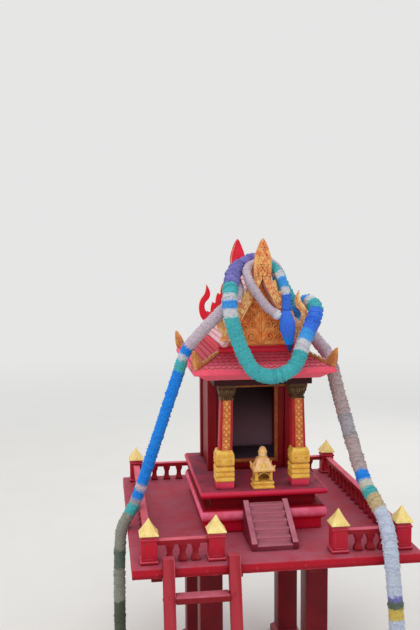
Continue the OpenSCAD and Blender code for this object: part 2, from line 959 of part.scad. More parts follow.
// The spire astride the two boards: its front view meets its side view
module gable_spires() {
    tip = board_top + spire_h;
    saddle = board_top - drop_at(spire_half);
    waist = spire_half * 0.55;
    waist_z = board_top + spire_h * 0.5;
    half_view = concat(
        bow([spire_half, saddle], [spire_half * 1.02, board_top + spire_h * 0.1], [waist, waist_z], 5),
        bow([waist, waist_z], [spire_half * 0.3, board_top + spire_h * 0.85], [0.8, tip], 5)
    );
    belly_z = board_top + spire_h * 0.42;
    side_view = concat(
        bow([0, saddle - 1], [2, belly_z], [-spire_lean, tip], 7),
        bow([-spire_lean - 2, tip], [-spire_t * 1.25, belly_z], [-spire_t, saddle - 1], 7)
    );
    color(old_gold)
    at_roof()
    for (y = [0, 1])
        mirror([0, y, 0]) translate([0, -gable_y + (spire_t - board_t) / 2, 0])
        difference() {
            intersection() {
                translate([0, spire_t, 0]) rotate([90, 0, 0]) linear_extrude(4 * spire_t)
                    polygon(concat(half_view, [for (p = reversed(half_view)) [-p[0], p[1]]]));
                rotate([90, 0, 90]) linear_extrude(3 * spire_half, center = true) polygon(side_view);
            }
            translate([0, spire_t, 0]) rotate([90, 0, 0]) linear_extrude(4 * spire_t) {
                under_line(board_top, roof_foot);
                for (x = [0, 1])
                    mirror([x, 0]) board_outline();
            }
        }
}

// A hooked flame that springs from the board's outer edge, drawn at a height of 164
module flame_hook() {
    scale(flame_h / 164)
        polygon(concat(
            bow([-22, 14], [8, 28], [9, 72], 5),
            bow([9, 72], [9, 102], [-8, 118], 5),
            bow([-8, 118], [-20, 130], [-20, 164], 4),
            bow([-20, 164], [-38, 138], [-35, 122], 4),
            bow([-35, 122], [-32, 106], [-20, 98], 4),
            bow([-20, 98], [-8, 84], [-16, 64], 4),
            bow([-16, 64], [-24, 50], [-44, 46], 3)
        ));
}

module gable_flames() {
    root = flare(board_top - board_low);
    color(old_gold)
    at_roof()
    for (x = [0, 1], y = [0, 1])
        mirror([x, 0, 0]) mirror([0, y, 0]) translate([0, -gable_y, 0])
        rotate([90, 0, 0]) linear_extrude(board_t)
        difference() {
            translate([root, board_low]) flame_hook();
            board_outline();
            under_line(board_top, board_low - 60);
        }
}

// The small shrine stands on the slab's front edge
module at_shrine() {
    at_house() translate([0, -shrine_front, floor_z]) children();
}

module shrine_base() {
    h = shrine_base_h;
    color(gold)
    at_shrine() moulded_block(shrine_w, shrine_d, [
        [0, 0], [0, h * 0.3], [-4, h * 0.42], [-4, h * 0.6], [-1, h * 0.7], [-1, h]
    ]);
}

module shrine_body() {
    w = shrine_w - 11;
    d = shrine_d - 12;
    post = 9;
    color(old_gold)
    at_shrine() {
        for (x = [-1, 1], y = [-1, 1])
            translate([x * (w - post) / 2, y * (d - post) / 2, 0])
                box_at(post, post, shrine_base_h, shrine_body_h);
        translate([0, (d - 3) / 2, 0]) box_at(w - 2 * post, 3, shrine_base_h, shrine_body_h);
    }
}

// A hollow-sided square roof with a horn at each corner, and a round bell on top
module shrine_roof() {
    z0 = shrine_base_h + shrine_body_h;
    z1 = z0 + shrine_roof_h;
    over_w = shrine_w + 2;
    over_d = shrine_d + 4;
    neck = 15;
    hollow = bow([-2, z0 + 12], [-over_d * 0.2, z0 + 20], [-over_d / 2 + neck - 1, z1], 6);
    bell_z = z1 + shrine_spire_h * 0.42;
    color(gold)
    at_shrine() {
        moulded_block(over_w, over_d, concat([[-3, z0], [0, z0 + 3], [0, z0 + 9]], hollow));
        for (x = [-1, 1], y = [-1, 1])
            translate([x * (over_w / 2 - 3), y * (over_d / 2 - 3), z0 + 8])
                rotate([0, 0, atan2(y, x)]) translate([-8, 2.5, 0])
                    rotate([90, 0, 0]) linear_extrude(5) flame(9, 15, 13, 3);
        rotate_extrude($fn = 32) polygon(concat(
            [[0, z1 - 4], [neck + 1, z1 - 4], [neck + 1, z1 + 3], [neck - 2, z1 + 4], [neck - 2, z1 + 7]],
            arc(0, bell_z, neck - 1, shrine_spire_h * 0.56, -24, 82, 8),
            [[0, z1 + shrine_spire_h]]
        ));
    }
}

// Routes of the garlands, each from the ridge or its knot outwards
LEFT_ROUTE = [
    [0, 15, 1495], [-16, 15, 1495], [-42, 11, 1484], [-62, 4, 1467], [-76, -18, 1444], [-81, -60, 1423],
    [-81, -104, 1408], [-96, -142, 1386], [-116, -148, 1363], [-174, -142, 1305], [-238, -116, 1231],
    [-262, -104, 1186], [-282, -95, 1122], [-336, -73, 953], [-390, -54, 785], [-424, -46, 689],
    [-450, -44, 640], [-472, -46, 592], [-480, -52, 480], [-482, -58, 300], [-482, -58, 150]
];
RIGHT_ROUTE = [
    [0, 16, 1499], [16, 16, 1499], [42, 17, 1489], [64, 20, 1474], [82, 28, 1450], [108, 36, 1396],
    [180, 44, 1272], [232, 40, 1206], [261, 27, 1165], [274, 0, 1108], [278, -80, 1016], [300, -250, 809],
    [321, -320, 740], [334, -359, 703], [335, -399, 663], [334, -428, 606], [341, -436, 520],
    [350, -440, 400], [354, -440, 300], [354, -440, 160]
];
FRONT_ROUTE = [
    [0, -37, 1500], [-16, -38, 1500], [-40, -40, 1491], [-62, -49, 1480], [-80, -69, 1469],
    [-95, -102, 1456], [-107, -141, 1434], [-118, -174, 1403], [-122, -194, 1358], [-116, -202, 1312],
    [-92, -206, 1234], [-61, -207, 1170], [-30, -208, 1141], [13, -208, 1131], [56, -208, 1142],
    [91, -206, 1170], [123, -188, 1242], [161, -150, 1302], [178, -120, 1333], [175, -84, 1354],
    [157, -50, 1354], [124, -20, 1306]
];
SPIRE_ROUTE = [
    [40, -134, 1326], [9, -134, 1350], [-34, -135, 1408], [-48, -128, 1436], [-51, -106, 1462],
    [-37, -86, 1481], [-13, -80, 1490], [13, -80, 1490], [37, -86, 1481], [53, -106, 1462],
    [63, -122, 1436], [72, -131, 1404], [76, -134, 1370], [73, -136, 1336]
];
// Where the tail of the spire's garland ends
TAIL_END = [85, -149, 1197];
garland_sides = 8;

function unit(v) = v / norm(v);

// Direction of a route at one of its points
function heading(route, i) = unit(route[min(i + 1, len(route) - 1)] - route[max(i - 1, 0)]);

// A direction across the route at each point, carried along without a twist
function across(route, i, last) = i == len(route) ? [] :
    let (t = heading(route, i), n = unit(last - (last * t) * t)) concat([n], across(route, i + 1, n));

// A round rope swept along a route
module rope(route, d) {
    n = garland_sides;
    last = len(route) - 1;
    sides = across(route, 0, [0, 1, 0]);
    rings = [for (i = [0:last], k = [0:n - 1])
        let (u = sides[i], v = cross(heading(route, i), u), a = 360 * k / n)
        route[i] + d / 2 * (cos(a) * u + sin(a) * v)];
    walls = [for (i = [0:last - 1], k = [0:n - 1])
        let (a = i * n + k, b = i * n + (k + 1) % n)
        each [[a, b + n, b], [a, a + n, b + n]]];
    polyhedron(
        points = rings,
        faces = concat(walls, [[for (k = [0:n - 1]) k], [for (k = [n - 1:-1:0]) last * n + k]])
    );
}

module left_garland() {
    color(lilac) rope(LEFT_ROUTE, left_garland_d);
}

module right_garland() {
    color(cream) rope(RIGHT_ROUTE, right_garland_d);
}

module front_garland() {
    color(teal) rope(FRONT_ROUTE, front_garland_d);
}

module spire_garland() {
    color(azure) rope(SPIRE_ROUTE, spire_garland_d);
}

// Turns +Z to point from a to b, and moves the origin to b
module pointing(a, b) {
    v = b - a;
    translate(b) rotate([0, acos(v[2] / norm(v)), atan2(v[1], v[0])]) children();
}

// A tied bell of threads that carries on the rope at the end of a route
module tassel(route, d) {
    last = len(route) - 1;
    r = d * cos(180 / garland_sides) / 2;
    l = tassel_l;
    pointing(route[last - 1], route[last]) rotate_extrude($fn = 24) polygon(concat(
        [[0, 0], [r, 0], [r * 0.72, l * 0.1], [r * 0.68, l * 0.2]],
        bow([r * 0.9, l * 0.26], [r * 1.3, l * 0.5], [r * 1.1, l], 4),
        [[0, l]]
    ));
}

// The round turn of cloth that closes a rope at b
module knot(a, b, d) {
    r = d * cos(180 / garland_sides) / 2;
    pointing(a, b) rotate_extrude($fn = 24) polygon(concat([[0, 0]], arc(0, 0, r, knot_l, 0, 90, 5)));
}

// The tail of cloth under the short garland round the spire: full below its tie, then pointed
module tail() {
    top = SPIRE_ROUTE[len(SPIRE_ROUTE) - 1];
    l = norm(TAIL_END - top);
    r = spire_garland_d * cos(180 / garland_sides) / 2;
    full = tail_d / 2;
    pointing(2 * top - TAIL_END, top) rotate_extrude($fn = 24) polygon(concat(
        [[0, 0]],
        bow([r, 0], [full * 1.25, l * 0.3], [full * 0.7, l * 0.68], 5),
        bow([full * 0.7, l * 0.68], [full * 0.45, l * 0.9], [3, l], 3),
        [[0, l]]
    ));
}

module garland_ends() {
    front_last = len(FRONT_ROUTE) - 1;
    color(lilac) tassel(LEFT_ROUTE, left_garland_d);
    color(cream) tassel(RIGHT_ROUTE, right_garland_d);
    color(lilac) knot(FRONT_ROUTE[1], FRONT_ROUTE[0], front_garland_d);
    color(azure) knot(FRONT_ROUTE[front_last - 1], FRONT_ROUTE[front_last], front_garland_d);
    color(cream) knot(SPIRE_ROUTE[1], SPIRE_ROUTE[0], spire_garland_d);
    color(azure) tail();
}

leg_pads();
legs();
cross_beams();
joists();
deck();
ladder_rails();
ladder_rungs();
fence_posts();
post_caps();
front_left_fence();
front_right_fence();
left_fence();
right_fence();
rear_fence();
plinth();
plinth_slab();
stair_steps();
stair_strings();
chamber_floor();
chamber_posts();
front_wall();
left_wall();
right_wall();
rear_wall();
door_frame();
column_feet();
column_bases();
columns();
column_strips();
column_capitals();
ceiling_board();
skirt_roof();
eave_boards();
hip_ridges();
corner_leaves();
attic_block();
left_roof_slope();
right_roof_slope();
ridge_cap();
front_pediment();
rear_pediment();
front_gable_boards();
rear_gable_boards();
gable_spires();
gable_flames();
shrine_base();
shrine_body();
shrine_roof();
left_garland();
right_garland();
front_garland();
spire_garland();
garland_ends();
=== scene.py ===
"""Looks of a small painted spirit house: paint, gilding, carving, tiles and garlands round its solids."""

import logging
import math
import random
from collections.abc import Iterable, Sequence
from dataclasses import dataclass, field
from enum import Enum

import bmesh
import bpy
from mathutils import Matrix, Vector, noise


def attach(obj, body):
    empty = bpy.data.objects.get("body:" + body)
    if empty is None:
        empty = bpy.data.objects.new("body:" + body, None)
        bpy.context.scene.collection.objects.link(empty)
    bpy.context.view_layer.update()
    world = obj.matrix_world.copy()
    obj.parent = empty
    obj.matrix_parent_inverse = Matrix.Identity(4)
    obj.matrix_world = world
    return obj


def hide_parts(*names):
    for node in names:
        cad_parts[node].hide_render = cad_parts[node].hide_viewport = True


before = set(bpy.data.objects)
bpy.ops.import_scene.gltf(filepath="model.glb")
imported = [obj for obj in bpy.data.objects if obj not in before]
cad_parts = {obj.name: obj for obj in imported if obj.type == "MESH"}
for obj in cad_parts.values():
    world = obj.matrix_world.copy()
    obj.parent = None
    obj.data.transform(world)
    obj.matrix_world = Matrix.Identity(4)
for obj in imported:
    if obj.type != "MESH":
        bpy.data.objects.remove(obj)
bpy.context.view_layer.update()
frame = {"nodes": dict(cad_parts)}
LOG = logging.getLogger("spirit_house")
BODY = "root"
MM = 0.001
SIDES = (-1, 1)
FULL_ENDS = (1.0, 1.0)

Colour = tuple[float, float, float, float]
Point = tuple[float, float, float]
Flat = tuple[float, float]
Piece = bpy.types.Object
Material = bpy.types.Material
Node = bpy.types.Node
Socket = bpy.types.NodeSocket
Given = float | Colour | Socket


def rgb(red: int, green: int, blue: int) -> Colour:
    """Turns a display colour into the linear colour that shaders use.

    Args:
        red: Red, 0 to 255.
        green: Green, 0 to 255.
        blue: Blue, 0 to 255.

    Returns:
        The linear colour with full opacity.
    """
    def linear(value: int) -> float:
        """Returns one channel as linear light."""
        share = value / 255
        return share / 12.92 if share <= 0.04045 else ((share + 0.055) / 1.055) ** 2.4

    return linear(red), linear(green), linear(blue), 1.0


class Slot(Enum):
    """The record's material slots."""

    RED = "red_paint"
    DUSTY_RED = "dusty_red_paint"
    GOLD = "gold_paint"
    ORANGE_GOLD = "orange_gold_paint"
    CLOTH = "garland_cloth"


class Effect(Enum):
    """The shader node groups that several finishes share."""

    BLOTCHES = "paint_blotches"
    WORN_EDGES = "worn_edges"
    DUST = "settled_dust"
    GRIME = "corner_grime"
    BRUSH = "brush_marks"
    CHIPS = "paint_chips"


class NodeBoard:
    """A small hand for laying out shader nodes in one node tree."""

    def __init__(self, tree: bpy.types.NodeTree) -> None:
        """Takes the tree that the nodes go into."""
        self.tree = tree

    def node(self, kind: str, settings: dict | None = None, **inputs: Given) -> Node:
        """Adds one node.

        Args:
            kind: Blender's name of the node type.
            settings: Node properties to set first.
            **inputs: Values or output sockets, by input name with _ for each space.

        Returns:
            The new node.
        """
        made = self.tree.nodes.new(kind)
        for name, value in (settings or {}).items():
            setattr(made, name, value)
        for name, value in inputs.items():
            self.feed(made.inputs[name.replace("_", " ")], value)
        return made

    def feed(self, socket: Socket, value: Given) -> None:
        """Links an output to a socket, or sets the socket's value."""
        if isinstance(value, Socket):
            self.tree.links.new(value, socket)
        else:
            socket.default_value = value

    def fill(self, made: Node, *values: Given) -> Node:
        """Feeds a node's inputs in their order and returns the node."""
        for socket, value in zip(made.inputs, values):
            self.feed(socket, value)
        return made

    def maths(self, operation: str, *values: Given, clamp: bool = False) -> Socket:
        """Adds a Math node.

        Args:
            operation: Blender's name of the operation.
            *values: One to three numbers or sockets.
            clamp: Whether the result is kept between 0 and 1.

        Returns:
            The result's socket.
        """
        made = self.node("ShaderNodeMath", {"operation": operation, "use_clamp": clamp})
        return self.fill(made, *values).outputs[0]

    def times(self, *values: Given, clamp: bool = False) -> Socket:
        """Multiplies two numbers or sockets and returns the product."""
        return self.maths("MULTIPLY", *values, clamp=clamp)

    def blend(self, share: Given, first: Given, second: Given) -> Socket:
        """Mixes two colours.

        Args:
            share: The second colour's share.
            first: The first colour.
            second: The second colour.

        Returns:
            The mix's socket.
        """
        made = self.node("ShaderNodeMix", {"data_type": "RGBA"})
        for index, value in ((0, share), (6, first), (7, second)):
            self.feed(made.inputs[index], value)
        return made.outputs[2]

    def spread(self, value: Given, low: Given, high: Given, floor: float = 0.0, top: float = 1.0) -> Socket:
        """Maps the span low to high onto floor to top, clamped, and returns it."""
        made = self.node("ShaderNodeMapRange", {"interpolation_type": "SMOOTHSTEP"})
        return self.fill(made, value, low, high, floor, top).outputs[0]

    def place(self) -> Socket:
        """Returns the place on the object, in metres."""
        return self.node("ShaderNodeTexCoord").outputs["Object"]

    def part(self, vector: Socket, axis: str) -> Socket:
        """Returns the X, Y or Z part of a vector."""
        return self.node("ShaderNodeSeparateXYZ", Vector=vector).outputs[axis]

    def facing(self, axis: str, side: Given, low: float, high: float) -> Socket:
        """Masks what faces along one axis of the house.

        Args:
            axis: X or Y.
            side: 1 for the axis's own way, -1 for the other way, or a socket with either.
            low: How much a surface faces that way where the mask starts.
            high: How much it does where the mask is full.

        Returns:
            The mask's socket.
        """
        normal = self.part(self.node("ShaderNodeTexCoord").outputs["Normal"], axis)
        return self.spread(self.times(normal, side), low, high)

    def noise(
        self, scale: Given, detail: float = 4.0, rough: float = 0.55, place: Socket | None = None,
    ) -> Socket:
        """Adds soft noise.

        Args:
            scale: Number of blobs in a metre.
            detail: Number of finer layers.
            rough: How strong the finer layers are.
            place: Socket with the place, or None for the object's own.

        Returns:
            The noise value's socket.
        """
        made = self.node("ShaderNodeTexNoise", Vector=place or self.place(), Detail=detail, Roughness=rough)
        self.feed(made.inputs["Scale"], scale)
        return made.outputs["Fac"]

    def effect(self, effect: Effect, **values: Given) -> Socket:
        """Places a shared node group.

        Args:
            effect: Which group.
            **values: The group's input values by name.

        Returns:
            The group's output socket.
        """
        group = {"node_tree": bpy.data.node_groups[effect.value]}
        return self.node("ShaderNodeGroup", group, **values).outputs[0]

    def relief(self, shader: Node, strength: float, distance: float, height: Socket) -> None:
        """Bends a shader's normal by a height, which is full at a distance in metres."""
        bump = self.node("ShaderNodeBump", Strength=strength, Distance=distance, Height=height)
        self.feed(shader.inputs["Normal"], bump.outputs["Normal"])

    def mix(self, output: Node, share: Socket, first: Node, second: Node) -> None:
        """Mixes two shaders by a share into the Surface of an output node."""
        made = self.fill(self.node("ShaderNodeMixShader"), share, first.outputs[0], second.outputs[0])
        self.feed(output.inputs["Surface"], made.outputs[0])


class EffectShelf:
    """Builds each shared node group once."""

    def __init__(self) -> None:
        """Builds every group."""
        self._blotches()
        self._worn_edges()
        self._dust_and_sheen()
        self._grime_and_shade()
        self._brush()
        self._chips()

    @staticmethod
    def _open(effect: Effect, output: str, **inputs: float) -> tuple[NodeBoard, dict[str, Socket], Socket]:
        """Starts a group.

        Args:
            effect: Which effect the group makes.
            output: Name of its one output.
            **inputs: Its inputs, by name, with the values they start with.

        Returns:
            The board, the input sockets by name and the socket that the result goes into.
        """
        tree = bpy.data.node_groups.new(effect.value, "ShaderNodeTree")
        for name, value in inputs.items():
            made = tree.interface.new_socket(name, in_out="INPUT", socket_type="NodeSocketFloat")
            made.default_value = value
        tree.interface.new_socket(output, in_out="OUTPUT", socket_type="NodeSocketFloat")
        board = NodeBoard(tree)
        first, last = board.node("NodeGroupInput"), board.node("NodeGroupOutput")
        return board, {name: first.outputs[name] for name in inputs}, last.inputs[output]

    def _blotches(self) -> None:
        """Broad uneven patches with finer ones inside."""
        board, given, out = self._open(Effect.BLOTCHES, "Share", Scale=12.0, Contrast=0.3)
        broad = board.noise(given["Scale"], 3.0)
        fine = board.noise(board.times(given["Scale"], 7.0), 5.0, 0.65)
        both = board.maths("ADD", board.times(broad, 0.65), board.times(fine, 0.35))
        low = board.maths("SUBTRACT", 0.5, given["Contrast"])
        high = board.maths("ADD", 0.5, given["Contrast"])
        board.feed(out, board.spread(both, low, high))

    def _worn_edges(self) -> None:
        """Edges where rounding turns the surface, broken up by noise: wear and painted highlight."""
        board, given, out = self._open(Effect.WORN_EDGES, "Share", Width=0.002, Breaks=60.0)
        rounded = board.node("ShaderNodeBevel", {"samples": 4}, Radius=given["Width"]).outputs["Normal"]
        flat = board.node("ShaderNodeNewGeometry").outputs["Normal"]
        match = board.fill(board.node("ShaderNodeVectorMath", {"operation": "DOT_PRODUCT"}), rounded, flat)
        turn = board.spread(board.maths("SUBTRACT", 1.0, match.outputs["Value"]), 0.004, 0.10)
        patch = board.spread(board.noise(given["Breaks"], 4.0, 0.7), 0.40, 0.62)
        board.feed(out, board.times(turn, patch))

    def _dust_and_sheen(self) -> None:
        """Dust and painted sheen on what faces up, thinner on what faces sideways."""
        board, given, out = self._open(
            Effect.DUST, "Share", Amount=0.8, Scale=20.0, Sides=0.1, From=0.15, Full=0.85)
        normal = board.part(board.node("ShaderNodeNewGeometry").outputs["Normal"], "Z")
        up = board.spread(normal, given["From"], given["Full"])
        rest = board.maths("SUBTRACT", 1.0, given["Sides"])
        reach = board.maths("ADD", board.times(up, rest), given["Sides"])
        patch = board.spread(board.noise(given["Scale"], 6.0, 0.62), 0.25, 0.68, 0.45, 1.0)
        board.feed(out, board.times(board.times(reach, patch), given["Amount"], clamp=True))

    def _grime_and_shade(self) -> None:
        """Dark dirt and painted shade in corners and under mouldings."""
        board, given, out = self._open(Effect.GRIME, "Share", Reach=0.012, Amount=0.7)
        hollow = board.node("ShaderNodeAmbientOcclusion", {"samples": 6}, Distance=given["Reach"])
        deep = board.spread(hollow.outputs["AO"], 0.35, 0.95, 1.0, 0.0)
        patch = board.spread(board.noise(45.0, 5.0, 0.6), 0.25, 0.7, 0.4, 1.0)
        board.feed(out, board.times(board.times(deep, patch), given["Amount"], clamp=True))

    def _brush(self) -> None:
        """Fine streaks that a brush leaves, mostly along the piece's length."""
        board, given, out = self._open(Effect.BRUSH, "Height", Scale=180.0, Stretch=0.12)
        place = board.place()
        x, y, z = (board.part(place, axis) for axis in "XYZ")
        squeezed = board.node("ShaderNodeCombineXYZ", X=x, Y=y, Z=board.times(z, given["Stretch"]))
        streaks = board.noise(given["Scale"], 3.0, 0.6, squeezed.outputs["Vector"])
        lumps = board.noise(board.times(given["Scale"], 0.25), 4.0, 0.5)
        board.feed(out, board.maths("ADD", streaks, lumps))

    def _chips(self) -> None:
        """Small places where the paint has come off."""
        board, given, out = self._open(Effect.CHIPS, "Share", Scale=40.0, Amount=0.1)
        patches = board.noise(given["Scale"], 8.0, 0.72)
        edge = board.maths("SUBTRACT", 0.72, board.times(given["Amount"], 0.3))
        board.feed(out, board.spread(patches, edge, board.maths("ADD", edge, 0.02)))


def new_surface(name: str, **plain: float) -> tuple[Material, NodeBoard, Node]:
    """Starts a material.

    Args:
        name: The material's name.
        **plain: Values set on the shader's own inputs, by input name with _ for each space.

    Returns:
        The material, its board and its Principled shader.
    """
    material = bpy.data.materials.new(name)
    material.use_nodes = True
    shader = material.node_tree.nodes["Principled BSDF"]
    for key, value in plain.items():
        shader.inputs[key.replace("_", " ")].default_value = value
    return material, NodeBoard(material.node_tree), shader


@dataclass(frozen=True)
class Paint:
    """Old gloss paint: dust and painted sheen on top, wear and painted highlight at the edges, dirt and
    painted shade in corners.
    """

    name: str
    colour: Colour
    faded: Colour
    dusty: Colour = rgb(206, 112, 126)
    wear_and_highlight_colour: Colour = rgb(226, 116, 126)
    chipped: Colour = rgb(120, 62, 58)
    grime_and_shade_colour: Colour = rgb(40, 8, 12)
    dust: float = 0.6
    side_dust: float = 0.03
    dust_from: float = 0.15
    dust_full: float = 0.85
    dust_band: Flat | None = None
    wear: float = 0.5
    wear_width: float = 0.0022
    grime_and_shade: float = 0.6
    roughness: float = 0.45
    specular: float = 0.16
    front: Colour | None = None
    front_from: float = 0.55
    lower: Colour | None = None
    lower_z: float = 0.0
    soft: float = 0.003
    glint: Colour | None = None

    def _above(self, board: NodeBoard, height: float, floor: float = 0.0) -> Socket:
        """Masks what lies above a height in metres, or below it where floor is 1."""
        z = board.part(board.place(), "Z")
        return board.spread(z, height - self.soft, height + self.soft, floor, 1.0 - floor)

    def _ground(self, board: NodeBoard) -> Socket:
        """Builds the paint's colour, with those of its lower part and its front, and a painted highlight on
        its edge to the right.

        Args:
            board: The material's board.

        Returns:
            The colour's socket.
        """
        colour = board.blend(board.effect(Effect.BLOTCHES, Scale=9.0, Contrast=0.22), self.colour, self.faded)
        seen = colour if self.front is None else self.front
        if self.lower is not None:
            seen = board.blend(self._above(board, self.lower_z, 1.0), seen, self.lower)
        if self.front is not None:
            seen = board.blend(board.facing("Y", -1.0, self.front_from, 0.96), colour, seen)
        # Painted highlight on corners that face the front and the right.
        if self.glint is not None:
            turned = board.times(board.facing("X", 1.0, 0.02, 0.4), board.facing("Y", -1.0, 0.1, 0.5))
            seen = board.blend(turned, seen, self.glint)
        return seen

    def material(self) -> Material:
        """Builds the paint's material.

        Returns:
            The material.
        """
        material, board, shader = new_surface(self.name, Specular_IOR_Level=self.specular)
        # Dust and painted sheen on top, wear and painted highlight at edges, grime and painted shade in
        # corners.
        dust = board.effect(
            Effect.DUST, Amount=self.dust, Scale=16.0, Sides=self.side_dust, From=self.dust_from,
            Full=self.dust_full)
        if self.dust_band is not None:
            for height, floor in zip(self.dust_band, (0.0, 1.0)):
                dust = board.times(dust, self._above(board, height, floor))
        edge = board.times(board.effect(Effect.WORN_EDGES, Width=self.wear_width, Breaks=55.0), self.wear)
        chips = board.effect(Effect.CHIPS, Scale=38.0, Amount=0.05)
        grime_and_shade = board.effect(Effect.GRIME, Reach=0.014, Amount=self.grime_and_shade)
        colour = self._ground(board)
        for share, over in (
            (dust, self.dusty), (edge, self.wear_and_highlight_colour), (chips, self.chipped),
            (grime_and_shade, self.grime_and_shade_colour),
        ):
            colour = board.blend(share, colour, over)
        board.feed(shader.inputs["Base Color"], colour)
        rough = board.maths("ADD", self.roughness, board.times(dust, 0.4), clamp=True)
        board.feed(shader.inputs["Roughness"], rough)
        height = board.maths("SUBTRACT", board.effect(Effect.BRUSH, Scale=170.0, Stretch=0.15), chips)
        board.relief(shader, 0.12, 0.0012, height)
        return material


@dataclass(frozen=True)
class Gilt:
    """Gold paint brushed over a red ground, which shows in hollows together with painted shade, and where the
    gold has worn; its edges carry a painted highlight.
    """

    name: str
    light: Colour
    deep: Colour
    ground: Colour = rgb(158, 30, 30)
    edge_highlight: Colour = rgb(255, 232, 168)
    dusty: Colour = rgb(214, 176, 134)
    show_ground: float = 0.3
    hollow: float = 0.75
    dust: float = 0.2
    reach: float = 0.006
    patches: float = 38.0
    contrast: float = 0.2
    inner: Colour | None = None
    middle: float = 0.12673

    def material(self) -> Material:
        """Builds the gilding's material.

        Returns:
            The material.
        """
        material, board, shader = new_surface(self.name, Metallic=0.15, Specular_IOR_Level=0.3)
        tone = board.effect(Effect.BLOTCHES, Scale=self.patches, Contrast=self.contrast)
        # Painted highlight on the gold's rounded edges.
        edge = board.times(board.effect(Effect.WORN_EDGES, Width=0.0018, Breaks=90.0), 0.55)
        worn = board.effect(Effect.CHIPS, Scale=55.0, Amount=self.show_ground)
        # The red ground in hollows, which also serves as painted shade there.
        hollow = board.effect(Effect.GRIME, Reach=self.reach, Amount=self.hollow)
        dust = board.effect(Effect.DUST, Amount=self.dust, Scale=24.0, Sides=0.05)
        colour = self.light
        for share, over in (
            (tone, self.deep), (edge, self.edge_highlight), (worn, self.ground), (hollow, self.ground),
            (dust, self.dusty),
        ):
            colour = board.blend(share, colour, over)
        if self.inner is not None:
            before = board.maths("SUBTRACT", self.middle, board.part(board.place(), "Y"))
            inwards = board.facing("Y", board.maths("SIGN", before), 0.2, 0.45)
            colour = board.blend(inwards, colour, self.inner)
        board.feed(shader.inputs["Base Color"], colour)
        board.feed(shader.inputs["Roughness"], board.maths("ADD", 0.42, board.times(hollow, 0.3), clamp=True))
        board.relief(shader, 0.3, 0.0007, board.noise(420.0, 3.0, 0.6))
        return material


@dataclass(frozen=True)
class Cloth:
    """Fluffy cloth wound round a rope, in bands of colour along its length."""

    name: str
    bands: tuple[tuple[float, Colour], ...]
    soft: float = 0.004
    flecks: Colour = rgb(70, 84, 110)
    flecked: float = 0.2
    threads: Colour = rgb(236, 238, 240)

    def material(self) -> Material:
        """Builds the cloth's material.

        Returns:
            The material.
        """
        material, board, shader = new_surface(
            self.name, Roughness=0.92, Sheen_Weight=0.12, Sheen_Roughness=0.5, Specular_IOR_Level=0.1)
        along, depth = (
            board.node("ShaderNodeAttribute", {"attribute_name": label}).outputs["Fac"]
            for label in ("along", "depth"))
        ragged = board.times(board.maths("SUBTRACT", board.noise(90.0, 3.0), 0.5), 3 * self.soft)
        share = board.maths("ADD", along, ragged)
        colour = self.bands[0][1]
        for (end, _), (_, following) in zip(self.bands, self.bands[1:]):
            colour = board.blend(board.spread(share, end - self.soft, end + self.soft), colour, following)
        fleck = board.spread(board.noise(210.0, 4.0, 0.7), 0.60, 0.68, 0.0, self.flecked)
        colour = board.blend(fleck, colour, self.flecks)
        shade = board.node("ShaderNodeHueSaturation", Saturation=1.12, Value=0.5, Color=colour)
        shaded = board.blend(board.times(depth, 0.4), colour, shade.outputs[0])
        fuzz = board.spread(board.noise(900.0, 2.0, 0.7), 0.4, 0.75, 0.0, 0.07)
        board.feed(shader.inputs["Base Color"], board.blend(fuzz, shaded, self.threads))
        board.relief(shader, 0.7, 0.0014, board.noise(650.0, 3.0, 0.7))
        return material


def along_route(points: Sequence[Point], step: float) -> list[Vector]:
    """Draws a smooth curve through a route's points.

    Args:
        points: The route, in millimetres.
        step: Distance between two places on the result, in metres.

    Returns:
        Evenly spaced places along the curve, in metres.
    """
    knots = [Vector(p) * MM for p in points]
    knots = [2 * knots[0] - knots[1], *knots, 2 * knots[-1] - knots[-2]]
    fine: list[Vector] = []
    for a, b, c, d in zip(knots, knots[1:], knots[2:], knots[3:]):
        bend, twist = 2 * a - 5 * b + 4 * c - d, 3 * b - a - 3 * c + d
        for k in range(24):
            t = k / 24
            fine.append(0.5 * (2 * b + (c - a) * t + bend * t * t + twist * t ** 3))
    fine.append(knots[-2])
    spans = [(b - a).length for a, b in zip(fine, fine[1:])]
    length = sum(spans)
    count = max(2, round(length / step))
    result, gone, i = [fine[0]], 0.0, 0
    for k in range(1, count):
        want = length * k / count
        while gone + spans[i] < want:
            gone += spans[i]
            i += 1
        result.append(fine[i].lerp(fine[i + 1], (want - gone) / spans[i]))
    return [*result, fine[-1]]


def across_route(path: Sequence[Vector]) -> list[tuple[Vector, Vector]]:
    """Finds two directions across a path at each place, carried along without a twist.

    Args:
        path: Places along the path.

    Returns:
        The pair of directions at each place.
    """
    pairs, last = [], Vector((0, 1, 0))
    for i in range(len(path)):
        ahead = (path[min(i + 1, len(path) - 1)] - path[max(i - 1, 0)]).normalized()
        last = (last - last.dot(ahead) * ahead).normalized()
        pairs.append((last.copy(), ahead.cross(last)))
    return pairs


def put(name: str, data: bpy.types.ID) -> Piece:
    """Makes an object of its data and puts it into the scene."""
    made = bpy.data.objects.new(name, data)
    bpy.context.scene.collection.objects.link(made)
    return made


def mesh_piece(
    name: str, points: Iterable[Vector], faces: Iterable[Sequence[int]], smooth: bool = True,
) -> Piece:
    """Makes a mesh object in the scene.

    Args:
        name: The piece's name.
        points: Its corners, in metres.
        faces: Its faces as indices of corners.
        smooth: Whether it is shaded smooth, apart from its sharp corners.

    Returns:
        The new object.
    """
    mesh = bpy.data.meshes.new(name)
    mesh.from_pydata([tuple(p) for p in points], [], [tuple(f) for f in faces])
    mesh.validate()
    mesh.update()
    if smooth:
        mesh.shade_smooth()
        mesh.set_sharp_from_angle(angle=math.radians(52))
    return put(name, mesh)


